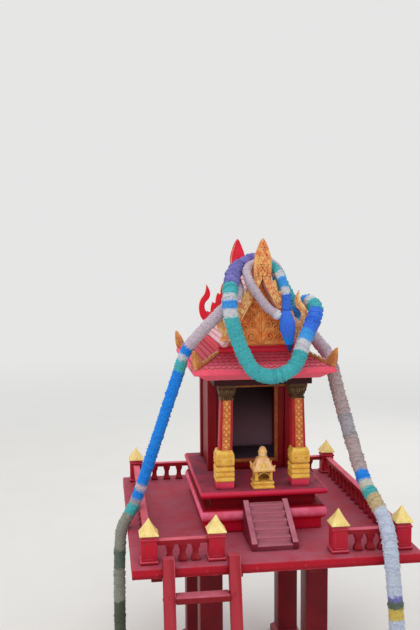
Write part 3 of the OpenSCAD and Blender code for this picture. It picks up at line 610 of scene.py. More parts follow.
def tube_piece(
    name: str, rings: Sequence[Sequence[Vector]], shares: Sequence[float], depths: Sequence[float],
) -> Piece:
    """Makes a tube with closed ends from rings of equally many points.

    Args:
        name: The piece's name.
        rings: The rings, from one end to the other.
        shares: Each point's place along the tube, 0 to 1, for the cloth to read.
        depths: How deep each point lies in the folds, 0 to 1, for the cloth to read.

    Returns:
        The new object.
    """
    last, sides = len(rings) - 1, len(rings[0])
    faces = [
        (i * sides + k, i * sides + (k + 1) % sides, (i + 1) * sides + (k + 1) % sides, (i + 1) * sides + k)
        for i in range(last) for k in range(sides)
    ]
    faces += [tuple(range(sides - 1, -1, -1)), tuple(range(last * sides, (last + 1) * sides))]
    piece = mesh_piece(name, [point for ring in rings for point in ring], faces)
    for label, values in (("along", shares), ("depth", depths)):
        piece.data.attributes.new(label, "FLOAT", "POINT").data.foreach_set("value", values)
    return piece


def finish_piece(piece: Piece, material: Material) -> Piece:
    """Gives a new piece its material and the body it rides on.

    Args:
        piece: The piece.
        material: Its material.

    Returns:
        The same piece.
    """
    piece.data.materials.clear()
    piece.data.materials.append(material)
    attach(piece, BODY)
    LOG.info("made %s with %d faces", piece.name, len(piece.data.polygons))
    return piece


def centred(count: int, pitch: float) -> list[float]:
    """Returns a number of places with one pitch between them and their middle at 0."""
    return [(k - (count - 1) / 2) * pitch for k in range(count)]


def on_side(line: Sequence[Flat], side: int, x: float = 0.0, y: float = 0.0) -> list[Flat]:
    """Moves a line by x and y and, for side -1, mirrors it to the left."""
    return [(side * (x + a), y + b) for a, b in line]


def bow(start: Flat, control: Flat, end: Flat, steps: int) -> list[Flat]:
    """Draws a curve that bends towards one control point.

    Args:
        start: Its first point.
        control: The point it bends towards.
        end: Its last point.
        steps: Number of steps.

    Returns:
        The curve's points.
    """
    result = []
    for i in range(steps + 1):
        t = i / steps
        parts = zip(start, control, end)
        result.append(tuple((1 - t) ** 2 * a + 2 * t * (1 - t) * b + t * t * c for a, b, c in parts))
    return result


def curl(x: float, y: float, radius: float, start: float, turns: float) -> list[Flat]:
    """Draws a spiral from its outer end inwards.

    Args:
        x: Its middle, to the right.
        y: Its middle, upwards.
        radius: Its outer radius.
        start: Direction of its outer end from the middle, in degrees.
        turns: Number of turns, negative for a clockwise one.

    Returns:
        The spiral's points.
    """
    steps = max(8, round(abs(turns) * 16))
    result = []
    for i in range(steps + 1):
        angle = math.radians(start) + math.tau * turns * i / steps
        reach = radius * (1 - 0.8 * i / steps)
        result.append((x + reach * math.cos(angle), y + reach * math.sin(angle)))
    return result


@dataclass(frozen=True)
class Face:
    """A flat place to carve on, in millimetres: its middle, and its directions to the right and up."""

    middle: Vector
    right: Vector
    up: Vector

    def at(self, x: float, y: float, rise: float = 0.0) -> Vector:
        """Returns a place on the face, or rise millimetres above it."""
        return self.middle + x * self.right + y * self.up + rise * self.right.cross(self.up)

    @staticmethod
    def upright(x: float, y: float, z: float, right: Point = (1, 0, 0)) -> "Face":
        """Returns the upright face at a place."""
        return Face(Vector((x, y, z)), Vector(right), Vector((0, 0, 1)))

    @staticmethod
    def between(low: Point, high: Point, right: Point) -> "Face":
        """Returns the face that runs up from one point to another."""
        return Face(Vector(low), Vector(right), (Vector(high) - Vector(low)).normalized())


def four_faces(
    x: float, y: float, z: float, half_w: float, half_d: float, top: Point = (0.0, 0.0, 1.0),
) -> list[Face]:
    """Gives the four upright or sloping faces of a square form.

    Args:
        x: The form's middle, to the right.
        y: The form's middle, to the rear.
        z: Height of the faces' lower edge.
        half_w: Half the form's width there.
        half_d: Half its depth there.
        top: How far the faces come out at their upper edge in width and in depth, and how high that edge is.

    Returns:
        The faces at the front, right, rear and left.
    """
    faces = []
    for dx, dy in ((0, -1), (1, 0), (0, 1), (-1, 0)):
        low = (x + dx * half_w, y + dy * half_d, z)
        high = (low[0] + dx * top[0], low[1] + dy * top[1], z + top[2])
        faces.append(Face.between(low, high, (-dy, dx, 0)))
    return faces


class Carving:
    """Gathers small raised forms into one mesh piece. All sizes are in millimetres."""

    ARCH = [(-math.cos(math.pi * k / 6), math.sin(math.pi * k / 6)) for k in range(7)]

    def __init__(self) -> None:
        """Starts with nothing carved."""
        self.points: list[Vector] = []
        self.faces: list[tuple[int, ...]] = []

    def skin(self, rows: Sequence[Sequence[Vector]], closed: bool = False) -> None:
        """Joins rows of equally many points into a skin.

        Args:
            rows: The rows, from the first to the last.
            closed: Whether each row closes on itself.
        """
        start, count = len(self.points), len(rows[0])
        for row in rows:
            self.points.extend(row)
        for i in range(len(rows) - 1):
            for k in range(count if closed else count - 1):
                a, b = start + i * count + k, start + i * count + (k + 1) % count
                self.faces.append((a, b, b + count, a + count))

    def cap(self, points: Sequence[Vector]) -> None:
        """Adds one flat face."""
        start = len(self.points)
        self.points.extend(points)
        self.faces.append(tuple(range(start, start + len(points))))

    def stroke(
        self, face: Face, line: Sequence[Flat], width: float, rise: float, ends: Flat = FULL_ENDS,
    ) -> None:
        """Carves a half-round line.

        Args:
            face: What it lies on.
            line: Its course.
            width: Its width in the middle.
            rise: Its height in the middle.
            ends: Its size at the start and at the end, as shares of the middle.
        """
        rows, last = [], len(line) - 1
        for i, (x, y) in enumerate(line):
            before, after = line[max(i - 1, 0)], line[min(i + 1, last)]
            reach = math.hypot(after[0] - before[0], after[1] - before[1]) or 1.0
            side = ((after[1] - before[1]) / reach, -(after[0] - before[0]) / reach)
            share = i / last
            near = ends[0] + (1 - ends[0]) * min(1.0, 3 * share)
            size = min(near, ends[1] + (1 - ends[1]) * min(1.0, 3 * (1 - share)))
            half = size * width / 2
            rows.append([
                face.at(x + c * half * side[0], y + c * half * side[1], s * rise * size) for c, s in self.ARCH
            ])
        self.skin(rows)
        self.cap(list(reversed(rows[0])))
        self.cap(rows[-1])

    def bead(self, face: Face, x: float, y: float, radius: float, rise: float, sides: int = 8) -> None:
        """Carves a round bead.

        Args:
            face: What it lies on.
            x: Its middle, to the right.
            y: Its middle, upwards.
            radius: Its radius.
            rise: Its height.
            sides: Number of its sides.
        """
        rows = []
        for tilt in (0.0, 35.0, 66.0):
            reach, lift = radius * math.cos(math.radians(tilt)), rise * math.sin(math.radians(tilt))
            turn = [math.tau * k / sides for k in range(sides)]
            rows.append([face.at(x + reach * math.cos(a), y + reach * math.sin(a), lift) for a in turn])
        self.skin(rows, closed=True)
        self.cap(rows[-1])

    def diamond(self, face: Face, x: float, y: float, width: float, height: float, rise: float) -> None:
        """Carves a four-sided boss that stands on its corner.

        Args:
            face: What it lies on.
            x: Its middle, to the right.
            y: Its middle, upwards.
            width: Its width.
            height: Its height on the face.
            rise: How far it stands out.
        """
        corners = ((1, 0), (0, 1), (-1, 0), (0, -1))
        rim = [face.at(x + a * width / 2, y + b * height / 2) for a, b in corners]
        top = [face.at(x + a * width / 9, y + b * height / 9, rise) for a, b in corners]
        self.skin([rim, top], closed=True)
        self.cap(top)

    def petal(
        self, face: Face, x: float, y: float, width: float, height: float, rise: float,
        turn: float = 0.0, lift: float = 0.0,
    ) -> None:
        """Carves a pointed leaf.

        Args:
            face: What it lies on.
            x: Middle of its foot, to the right.
            y: Middle of its foot, upwards.
            width: Its greatest width.
            height: Its length.
            rise: Its greatest height above the face.
            turn: How far it is turned to the left, in degrees.
            lift: How far its tip comes out.
        """
        c, s = math.cos(math.radians(turn)), math.sin(math.radians(turn))
        rows = []
        for i in range(8):
            t = i / 7
            half = width / 2 * (math.sin(math.pi * (0.12 + 0.88 * t) ** 0.8) ** 0.75 if i < 7 else 0.02)
            row = []
            for k in (-1.0, -0.6, 0.0, 0.6, 1.0):
                a, b = k * half, t * height
                up = rise * (1 - k * k) * (1 - 0.5 * t) + lift * t * t
                row.append(face.at(x + a * c - b * s, y + a * s + b * c, up))
            rows.append(row)
        self.skin(rows)

    def collar(
        self, x: float, y: float, z: float, half_w: float, half_d: float, width: float, rise: float,
    ) -> None:
        """Carves a half-round moulding round a square form.

        Args:
            x: The form's middle, to the right.
            y: The form's middle, to the rear.
            z: Height of the moulding's middle.
            half_w: Half the form's width.
            half_d: Half its depth.
            width: The moulding's height on the form.
            rise: How far it stands out.
        """
        rows = []
        for c, s in self.ARCH:
            w, d, h = half_w + s * rise, half_d + s * rise, z + c * width / 2
            rows.append([Vector((x + a * w, y + b * d, h)) for a, b in ((-1, -1), (1, -1), (1, 1), (-1, 1))])
        self.skin(rows, closed=True)

    def ring(self, y: float, z: float, radius: float) -> None:
        """Carves a round moulding about an upright line.

        Args:
            y: The line's place, to the rear.
            z: Height of the moulding's middle.
            radius: Radius of the form it lies on.
        """
        turn = [math.tau * k / 24 for k in range(24)]
        rows = []
        for c, s in self.ARCH:
            reach = radius + 1.6 * s
            rows.append([Vector((reach * math.cos(a), y + reach * math.sin(a), z + 1.8 * c)) for a in turn])
        self.skin(rows, closed=True)

    def tile(self, face: Face, x: float, y: float, width: float, length: float, thick: float) -> None:
        """Lays one roof tile with a pointed lower end.

        Args:
            face: The slope, with up towards the ridge.
            x: The tile's middle along the eaves.
            y: Its lower end, up the slope.
            width: Its width.
            length: Its length.
            thick: How far its lower end stands up.
        """
        half, point = width / 2 - 0.35, width * 0.34
        rim = [(-half, point), (0.0, 0.0), (half, point)]
        top = [face.at(x + a, y + b, thick) for a, b in rim]
        head = [face.at(x + half, y + length, 0.5), face.at(x - half, y + length, 0.5)]
        foot = [face.at(x + a, y + b, -0.5) for a, b in rim]
        self.cap([*top, *head])
        self.skin([foot, top])
        self.cap([foot[2], face.at(x + half, y + length, -0.5), head[0], top[2]])
        self.cap([head[1], face.at(x - half, y + length, -0.5), foot[0], top[0]])


@dataclass
class Viewpoint:
    """The camera, at the place from which the house is seen slightly from its left."""

    place: Point = (-0.5242, -2.7065, 1.5582)
    yaw: float = 0.1341
    pitch: float = 0.0893
    roll: float = -0.0067
    focus_px: float = 805.5
    long_side_px: float = 630.0
    sensor: float = 36.0
    sight: float = 400.0

    def build(self) -> None:
        """Makes the camera."""
        flat = math.cos(self.pitch)
        ahead = Vector((math.sin(self.yaw) * flat, math.cos(self.yaw) * flat, -math.sin(self.pitch)))
        level = Vector((math.cos(self.yaw), -math.sin(self.yaw), 0.0))
        upright = level.cross(ahead)
        right = math.cos(self.roll) * level + math.sin(self.roll) * upright
        up = -math.sin(self.roll) * level + math.cos(self.roll) * upright
        data = bpy.data.cameras.new("camera")
        data.lens = self.focus_px / self.long_side_px * self.sensor
        data.sensor_width = self.sensor
        data.clip_end = self.sight
        camera = put("camera", data)
        turn = Matrix((right, up, -ahead)).transposed()
        camera.matrix_world = Matrix.Translation(self.place) @ turn.to_4x4()
        bpy.context.scene.camera = camera


@dataclass
class Garland:
    """One thick garland: fluffy cloth wound on a rope, along a route of listed points."""

    name: str
    node: str
    route: tuple[Point, ...]
    diameter: float
    cloth: Cloth
    pitch: float = 0.0056
    sides: int = 36
    seed: int = 1
    fluff_scale: float = 150.0
    path: list[Vector] = field(default_factory=list)

    def build(self) -> Piece:
        """Builds the ruffled tube, with three rings of points to each ruffle.

        Returns:
            The tube.
        """
        chance = random.Random(self.seed)
        self.path = along_route(self.route, self.pitch / 3)
        last = len(self.path) - 1
        ruffles = last // 3 + 2
        turns = [chance.uniform(0, math.tau) for _ in range(ruffles)]
        sizes = [chance.uniform(0.88, 1.06) for _ in range(ruffles)]
        lobes = [chance.randint(7, 13) for _ in range(ruffles)]
        rings, shares, depths = [], [], []
        for i, (centre, (u, v)) in enumerate(zip(self.path, across_route(self.path))):
            turn, full, count, valley = turns[i // 3], sizes[i // 3], lobes[i // 3], i % 3 != 1
            closing = min(1.0, math.sqrt(min(i, last - i) / 4))
            base = self.diameter * 0.49 * (0.5 + 0.5 * closing)
            ring = []
            for k in range(self.sides):
                angle = math.tau * k / self.sides
                way = math.cos(angle) * u + math.sin(angle) * v
                lobe = 0.5 + 0.5 * math.sin(count * angle + turn + 2.0 * math.sin(2 * angle + turn))
                fluff = noise.noise((centre + base * way) * self.fluff_scale)
                crest = full * (0.91 + 0.13 * lobe) + 0.09 * fluff
                size = base * (0.87 + 0.05 * lobe + 0.06 * fluff if valley else crest)
                slip = 0.35 * math.sin(2 * angle + turn) + 0.3 * (lobe - 0.5) + 0.5 * fluff
                ring.append(centre + size * way + slip * closing * self.pitch * u.cross(v))
                shares.append(i / last)
                depths.append(min(1.0, max(0.0, (0.75 if valley else 0.35 * (1 - lobe)) - 0.6 * fluff)))
            rings.append(ring)
        return tube_piece(self.name, rings, shares, depths)

    def length(self) -> float:
        """Returns the garland's length in metres."""
        return sum((b - a).length for a, b in zip(self.path, self.path[1:]))


@dataclass
class Garlands:
    """The four garlands over the roof, with their knots, tassels and tail."""

    grey_lilac: Colour = rgb(206, 188, 200)
    periwinkle: Colour = rgb(124, 120, 192)
    white: Colour = rgb(212, 214, 220)
    sky: Colour = rgb(66, 160, 236)
    azure: Colour = rgb(0, 138, 240)
    teal: Colour = rgb(74, 184, 190)
    royal: Colour = rgb(56, 118, 232)
    cream: Colour = rgb(206, 202, 190)
    moss: Colour = rgb(96, 110, 98)
    weathered: Colour = rgb(148, 151, 139)
    shaded: Colour = rgb(84, 90, 76)
    straw: Colour = rgb(218, 190, 94)
    sand: Colour = rgb(204, 182, 140)
    slate: Colour = rgb(168, 164, 170)
    dusk: Colour = rgb(184, 164, 162)
    ice: Colour = rgb(200, 209, 228)
    deep_sea: Colour = rgb(18, 66, 136)
    tassel_length: float = 0.084
    tail_end: Point = (85, -149, 1197)

    left_route: tuple[Point, ...] = (
        (0, 15, 1495), (-16, 15, 1495), (-42, 11, 1484), (-62, 4, 1467), (-76, -18, 1444), (-81, -60, 1423),
        (-81, -104, 1408), (-96, -142, 1386), (-116, -148, 1363), (-174, -142, 1305), (-238, -116, 1231),
        (-262, -104, 1186), (-282, -95, 1122), (-336, -73, 953), (-390, -54, 785), (-424, -46, 689),
        (-450, -44, 640), (-472, -46, 592), (-480, -52, 480), (-482, -58, 300), (-482, -58, 150),
    )
    right_route: tuple[Point, ...] = (
        (0, 16, 1499), (16, 16, 1499), (42, 17, 1489), (64, 20, 1474), (82, 28, 1450), (108, 36, 1396),
        (180, 44, 1272), (232, 40, 1206), (261, 27, 1165), (274, 0, 1108), (278, -80, 1016), (300, -250, 809),
        (321, -320, 740), (334, -359, 703), (335, -399, 663), (334, -428, 606), (341, -436, 520),
        (350, -440, 400), (354, -440, 300), (354, -440, 160),
    )
    front_route: tuple[Point, ...] = (
        (0, -37, 1500), (-16, -38, 1500), (-40, -40, 1491), (-62, -49, 1480), (-80, -69, 1469),
        (-95, -102, 1456), (-107, -141, 1434), (-118, -174, 1403), (-122, -194, 1358), (-116, -202, 1312),
        (-92, -206, 1234), (-61, -207, 1170), (-30, -208, 1141), (13, -208, 1131), (56, -208, 1142),
        (91, -206, 1170), (123, -188, 1242), (161, -150, 1302), (178, -120, 1333), (175, -84, 1354),
        (157, -50, 1354), (124, -20, 1306),
    )
    spire_route: tuple[Point, ...] = (
        (40, -134, 1326), (9, -134, 1350), (-34, -135, 1408), (-48, -128, 1436), (-51, -106, 1462),
        (-37, -86, 1481), (-13, -80, 1490), (13, -80, 1490), (37, -86, 1481), (53, -106, 1462),
        (63, -122, 1436), (72, -131, 1404), (76, -134, 1370), (73, -136, 1336),
    )
    bell: tuple[Flat, ...] = (
        (0.0, 0.92), (0.05, 0.95), (0.1, 0.74), (0.18, 0.70), (0.26, 0.86), (0.4, 1.04), (0.6, 1.12),
        (0.8, 1.1), (1.0, 1.08),
    )
    leaf: tuple[Flat, ...] = (
        (0.0, 0.9), (0.05, 1.0), (0.16, 1.36), (0.3, 1.62), (0.45, 1.56), (0.62, 1.2), (0.78, 0.8),
        (0.9, 0.45), (1.0, 0.12),
    )

    def _garlands(self) -> list[Garland]:
        """Returns the four garlands with their colours and sizes."""
        # Its lower end darkens towards the bottom: painted shade.
        left = Cloth("left_garland_cloth", (
            (0.298, self.grey_lilac), (0.317, self.azure), (0.328, self.white), (0.354, self.teal),
            (0.61, self.azure), (0.624, self.grey_lilac), (0.643, self.azure), (0.655, self.slate),
            (0.68, self.teal), (0.76, self.weathered), (0.80, self.moss), (0.87, self.weathered),
            (1.0, self.shaded),
        ))
        right = Cloth("right_garland_cloth", (
            (0.06, self.grey_lilac), (0.14, self.teal), (0.20, self.slate), (0.30, self.grey_lilac),
            (0.42, self.dusk), (0.47, self.slate), (0.547, self.dusk), (0.568, self.azure),
            (0.585, self.cream), (0.602, self.teal), (0.632, self.sand), (0.797, self.ice),
            (0.806, self.periwinkle), (0.821, self.moss), (0.843, self.straw), (1.0, self.ice),
        ), flecks=rgb(84, 92, 104), flecked=0.75)
        front = Cloth("front_garland_cloth", (
            (0.205, self.periwinkle), (0.24, self.teal), (0.26, self.white), (0.285, self.sky),
            (0.31, self.white), (0.69, self.teal), (0.725, self.white), (0.76, self.sky), (0.85, self.royal),
            (0.89, self.teal), (0.915, self.white), (1.0, self.sky),
        ), flecked=0.1)
        spire = Cloth("spire_garland_cloth", (
            (0.56, self.grey_lilac), (0.71, self.teal), (0.76, self.white), (0.83, self.sky),
            (0.88, self.white), (1.0, self.royal),
        ), flecked=0.15)
        return [
            Garland("left_garland_cord", "left_garland", self.left_route, 0.042, left, seed=3),
            Garland("right_garland_cord", "right_garland", self.right_route, 0.050, right, seed=5),
            Garland("front_garland_cord", "front_garland", self.front_route, 0.052, front, seed=7),
            Garland(
                "spire_garland_cord", "spire_garland", self.spire_route, 0.032, spire,
                pitch=0.0046, sides=24, seed=9),
        ]

    @staticmethod
    def _bundle(
        name: str, garland: Garland, end: Vector, profile: Sequence[Flat], cloth: Cloth, seed: int,
    ) -> Piece:
        """Builds a tied bundle of threads that hangs from a garland's end.

        Args:
            name: The piece's name.
            garland: The garland, already built.
            end: The bundle's lower end.
            profile: Pairs of a share of its length and its radius there as a share of the garland's.
            cloth: The cloth of its threads.
            seed: Start of its random numbers.

        Returns:
            The bundle.
        """
        chance, sides = random.Random(seed), 48
        top, radius = garland.path[-1], garland.diameter / 2
        axis, length = (end - top).normalized(), (end - top).length
        across = Vector((0, 1, 0)) - Vector((0, 1, 0)).dot(axis) * axis
        u = across.normalized()
        v = axis.cross(u)
        reach = [chance.uniform(0.92, 1.0) for _ in range(sides)]
        rings = []
        for share, size in profile:
            ring = []
            for k in range(sides):
                angle = math.tau * k / sides
                comb = 1.0 - (0.09 if k % 2 else 0.0) * min(1.0, 4 * share)
                drop = length * share * (reach[k] if share > 0.9 else 1.0)
                way = math.cos(angle) * u + math.sin(angle) * v
                ring.append(top + radius * size * comb * way + drop * axis)
            rings.append(ring)
        shares = [share for share, _ in profile for _ in range(sides)]
        depths = [0.75 if k % 2 else 0.0 for _ in profile for k in range(sides)]
        return finish_piece(tube_piece(name, rings, shares, depths), cloth.material())

    @staticmethod
    def _knot(name: str, centre: Vector, radius: float, axis: Vector, cloth: Cloth) -> Piece:
        """Builds a round knot of cloth strips wound over each other.

        Args:
            name: The piece's name.
            centre: Its middle.
            radius: Its radius.
            axis: The direction of the rope in it.
            cloth: The cloth of its strips.

        Returns:
            The knot.
        """
        shell = bmesh.new()
        bmesh.ops.create_uvsphere(shell, u_segments=40, v_segments=24, radius=radius)
        turn = axis.to_track_quat("Z", "Y").to_matrix()
        for vert in shell.verts:
            place = vert.co
            angle = math.atan2(place.y, place.x)
            belly = math.sqrt(max(0.0, 1 - (place.z / radius) ** 2))
            winding = math.cos(8.4 * place.z / radius + 3 * angle) * belly
            vert.co = turn @ (place * (1 + 0.07 * winding)) + centre
        mesh = bpy.data.meshes.new(name)
        shell.to_mesh(mesh)
        shell.free()
        mesh.shade_smooth()
        return finish_piece(put(name, mesh), cloth.material())

    def _ends(self, garland: Garland) -> list[Piece]:
        """Builds what ends one garland.

        Args:
            garland: The garland, already built.

        Returns:
            Its tassel, its knot, or its knot and tail.
        """
        path, name = garland.path, garland.node
        foot = path[-1] + Vector((0, 0, -self.tassel_length))
        if name == "left_garland":
            # Painted shade: the tassel darkens towards its end.
            cloth = Cloth("left_tassel_cloth", ((0.2, self.weathered), (1.0, self.shaded)))
            return [self._bundle("left_tassel", garland, foot, self.bell, cloth, 2)]
        if name == "right_garland":
            cloth = Cloth("right_tassel_cloth", ((0.2, self.straw), (1.0, self.cream)))
            return [self._bundle("right_tassel", garland, foot, self.bell, cloth, 4)]
        outer, inner = (path[0], path[8]) if name == "spire_garland" else (path[-1], path[-9])
        heading, radius = (outer - inner).normalized(), garland.diameter / 2 * 1.05
        white = Cloth(name + "_knot_cloth", ((1.0, self.white),))
        ends = [self._knot(name + "_knot", outer + heading * 0.004, radius, heading, white)]
        if name == "spire_garland":
            cloth = Cloth("tail_cloth", ((0.62, self.royal), (0.8, self.azure), (1.0, self.deep_sea)))
            tail_end = Vector(self.tail_end) * MM
            ends.append(self._bundle("spire_garland_tail", garland, tail_end, self.leaf, cloth, 6))
        return ends

    def build(self) -> None:
        """Builds the garlands and their ends, hides the packed garland pieces and logs each garland's length.
        """
        for garland in self._garlands():
            piece = finish_piece(garland.build(), garland.cloth.material())
            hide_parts(garland.node)
            ends = self._ends(garland)
            for end in ends:
                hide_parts("garland_ends")
            round(garland.length(), 3)
            LOG.info("%s is %.3f m long", piece.name, garland.length())


@dataclass
class Studio:
    """A plain pale floor, soft lamps and a pale surround."""

    floor_size: float = 240.0
    floor_colour: Colour = rgb(230, 228, 224)
    backdrop: Colour = (0.79, 0.79, 0.786, 1.0)
    clear_from: float = 2.2
    clear_full: float = 9.0
    sky_colour: Colour = (0.97, 0.985, 1.0, 1.0)
    sky_strength: float = 0.86
    key_watts: float = 34.0
    fill_watts: float = 22.0
    aim: Point = (0.0, 0.1, 0.95)

    def _floor(self) -> None:
        """Lays the floor, which the eye alone sees pass into the pale backdrop far from the house."""
        half = self.floor_size / 2
        corners = [Vector((x * half, y * half, 0)) for x, y in ((-1, -1), (1, -1), (1, 1), (-1, 1))]
        floor = mesh_piece("floor", corners, [(0, 1, 2, 3)], smooth=False)
        material, board, shader = new_surface("floor", Roughness=0.9, Specular_IOR_Level=0.1)
        tone = board.spread(board.noise(3.0, 4.0), 0.3, 0.7)
        shade = tuple(c * 0.98 for c in self.floor_colour[:3]) + (1.0,)
        board.feed(shader.inputs["Base Color"], board.blend(tone, self.floor_colour, shade))
        reach = board.fill(board.node("ShaderNodeVectorMath", {"operation": "LENGTH"}), board.place())
        far = board.spread(reach.outputs["Value"], self.clear_from, self.clear_full)
        rays = board.node("ShaderNodeLightPath")
        eye = board.maths("MAXIMUM", rays.outputs["Is Camera Ray"], rays.outputs["Is Glossy Ray"])
        pale = board.node("ShaderNodeEmission", Color=self.backdrop, Strength=1.0)
        board.mix(material.node_tree.nodes["Material Output"], board.times(far, eye), shader, pale)
        floor.data.materials.append(material)

    def _lamp(self, name: str, place: Point, size: float, watts: float, colour: Point) -> None:
        """Hangs one square soft lamp that points at the house.

        Args:
            name: The lamp's name.
            place: Where it hangs.
            size: Length of its side.
            watts: Its power.
            colour: Its colour.
        """
        data = bpy.data.lights.new(name, "AREA")
        data.shape = "SQUARE"
        data.size = size
        data.energy = watts
        data.color = colour
        lamp = put(name, data)
        lamp.location = place
        lamp.rotation_mode = "QUATERNION"
        lamp.rotation_quaternion = (Vector(self.aim) - Vector(place)).to_track_quat("-Z", "Y")

    def build(self) -> None:
        """Sets floor, lamps, world and colour view."""
        self._floor()
        self._lamp("overhead_lamp", (-0.5, -0.6, 4.4), 3.2, self.key_watts, (1.0, 0.985, 0.96))
        self._lamp("front_lamp", (-2.4, -3.4, 2.6), 2.4, self.fill_watts, (1.0, 0.98, 0.95))
        self._lamp("rear_lamp", (2.4, 3.4, 2.6), 2.4, self.fill_watts, (0.98, 0.98, 1.0))
        world = bpy.data.worlds.new("surround")
        world.use_nodes = True
        board = NodeBoard(world.node_tree)
        seen = board.node("ShaderNodeBackground", Color=self.backdrop, Strength=1.0)
        light = board.node("ShaderNodeBackground", Color=self.sky_colour, Strength=self.sky_strength)
        rays = board.node("ShaderNodeLightPath")
        direct = board.maths("MAXIMUM", rays.outputs["Is Camera Ray"], rays.outputs["Is Glossy Ray"])
        pick = board.maths("MAXIMUM", direct, rays.outputs["Is Transmission Ray"])
        board.mix(world.node_tree.nodes["World Output"], pick, light, seen)
        bpy.context.scene.world = world
        bpy.context.scene.view_settings.view_transform = "Standard"


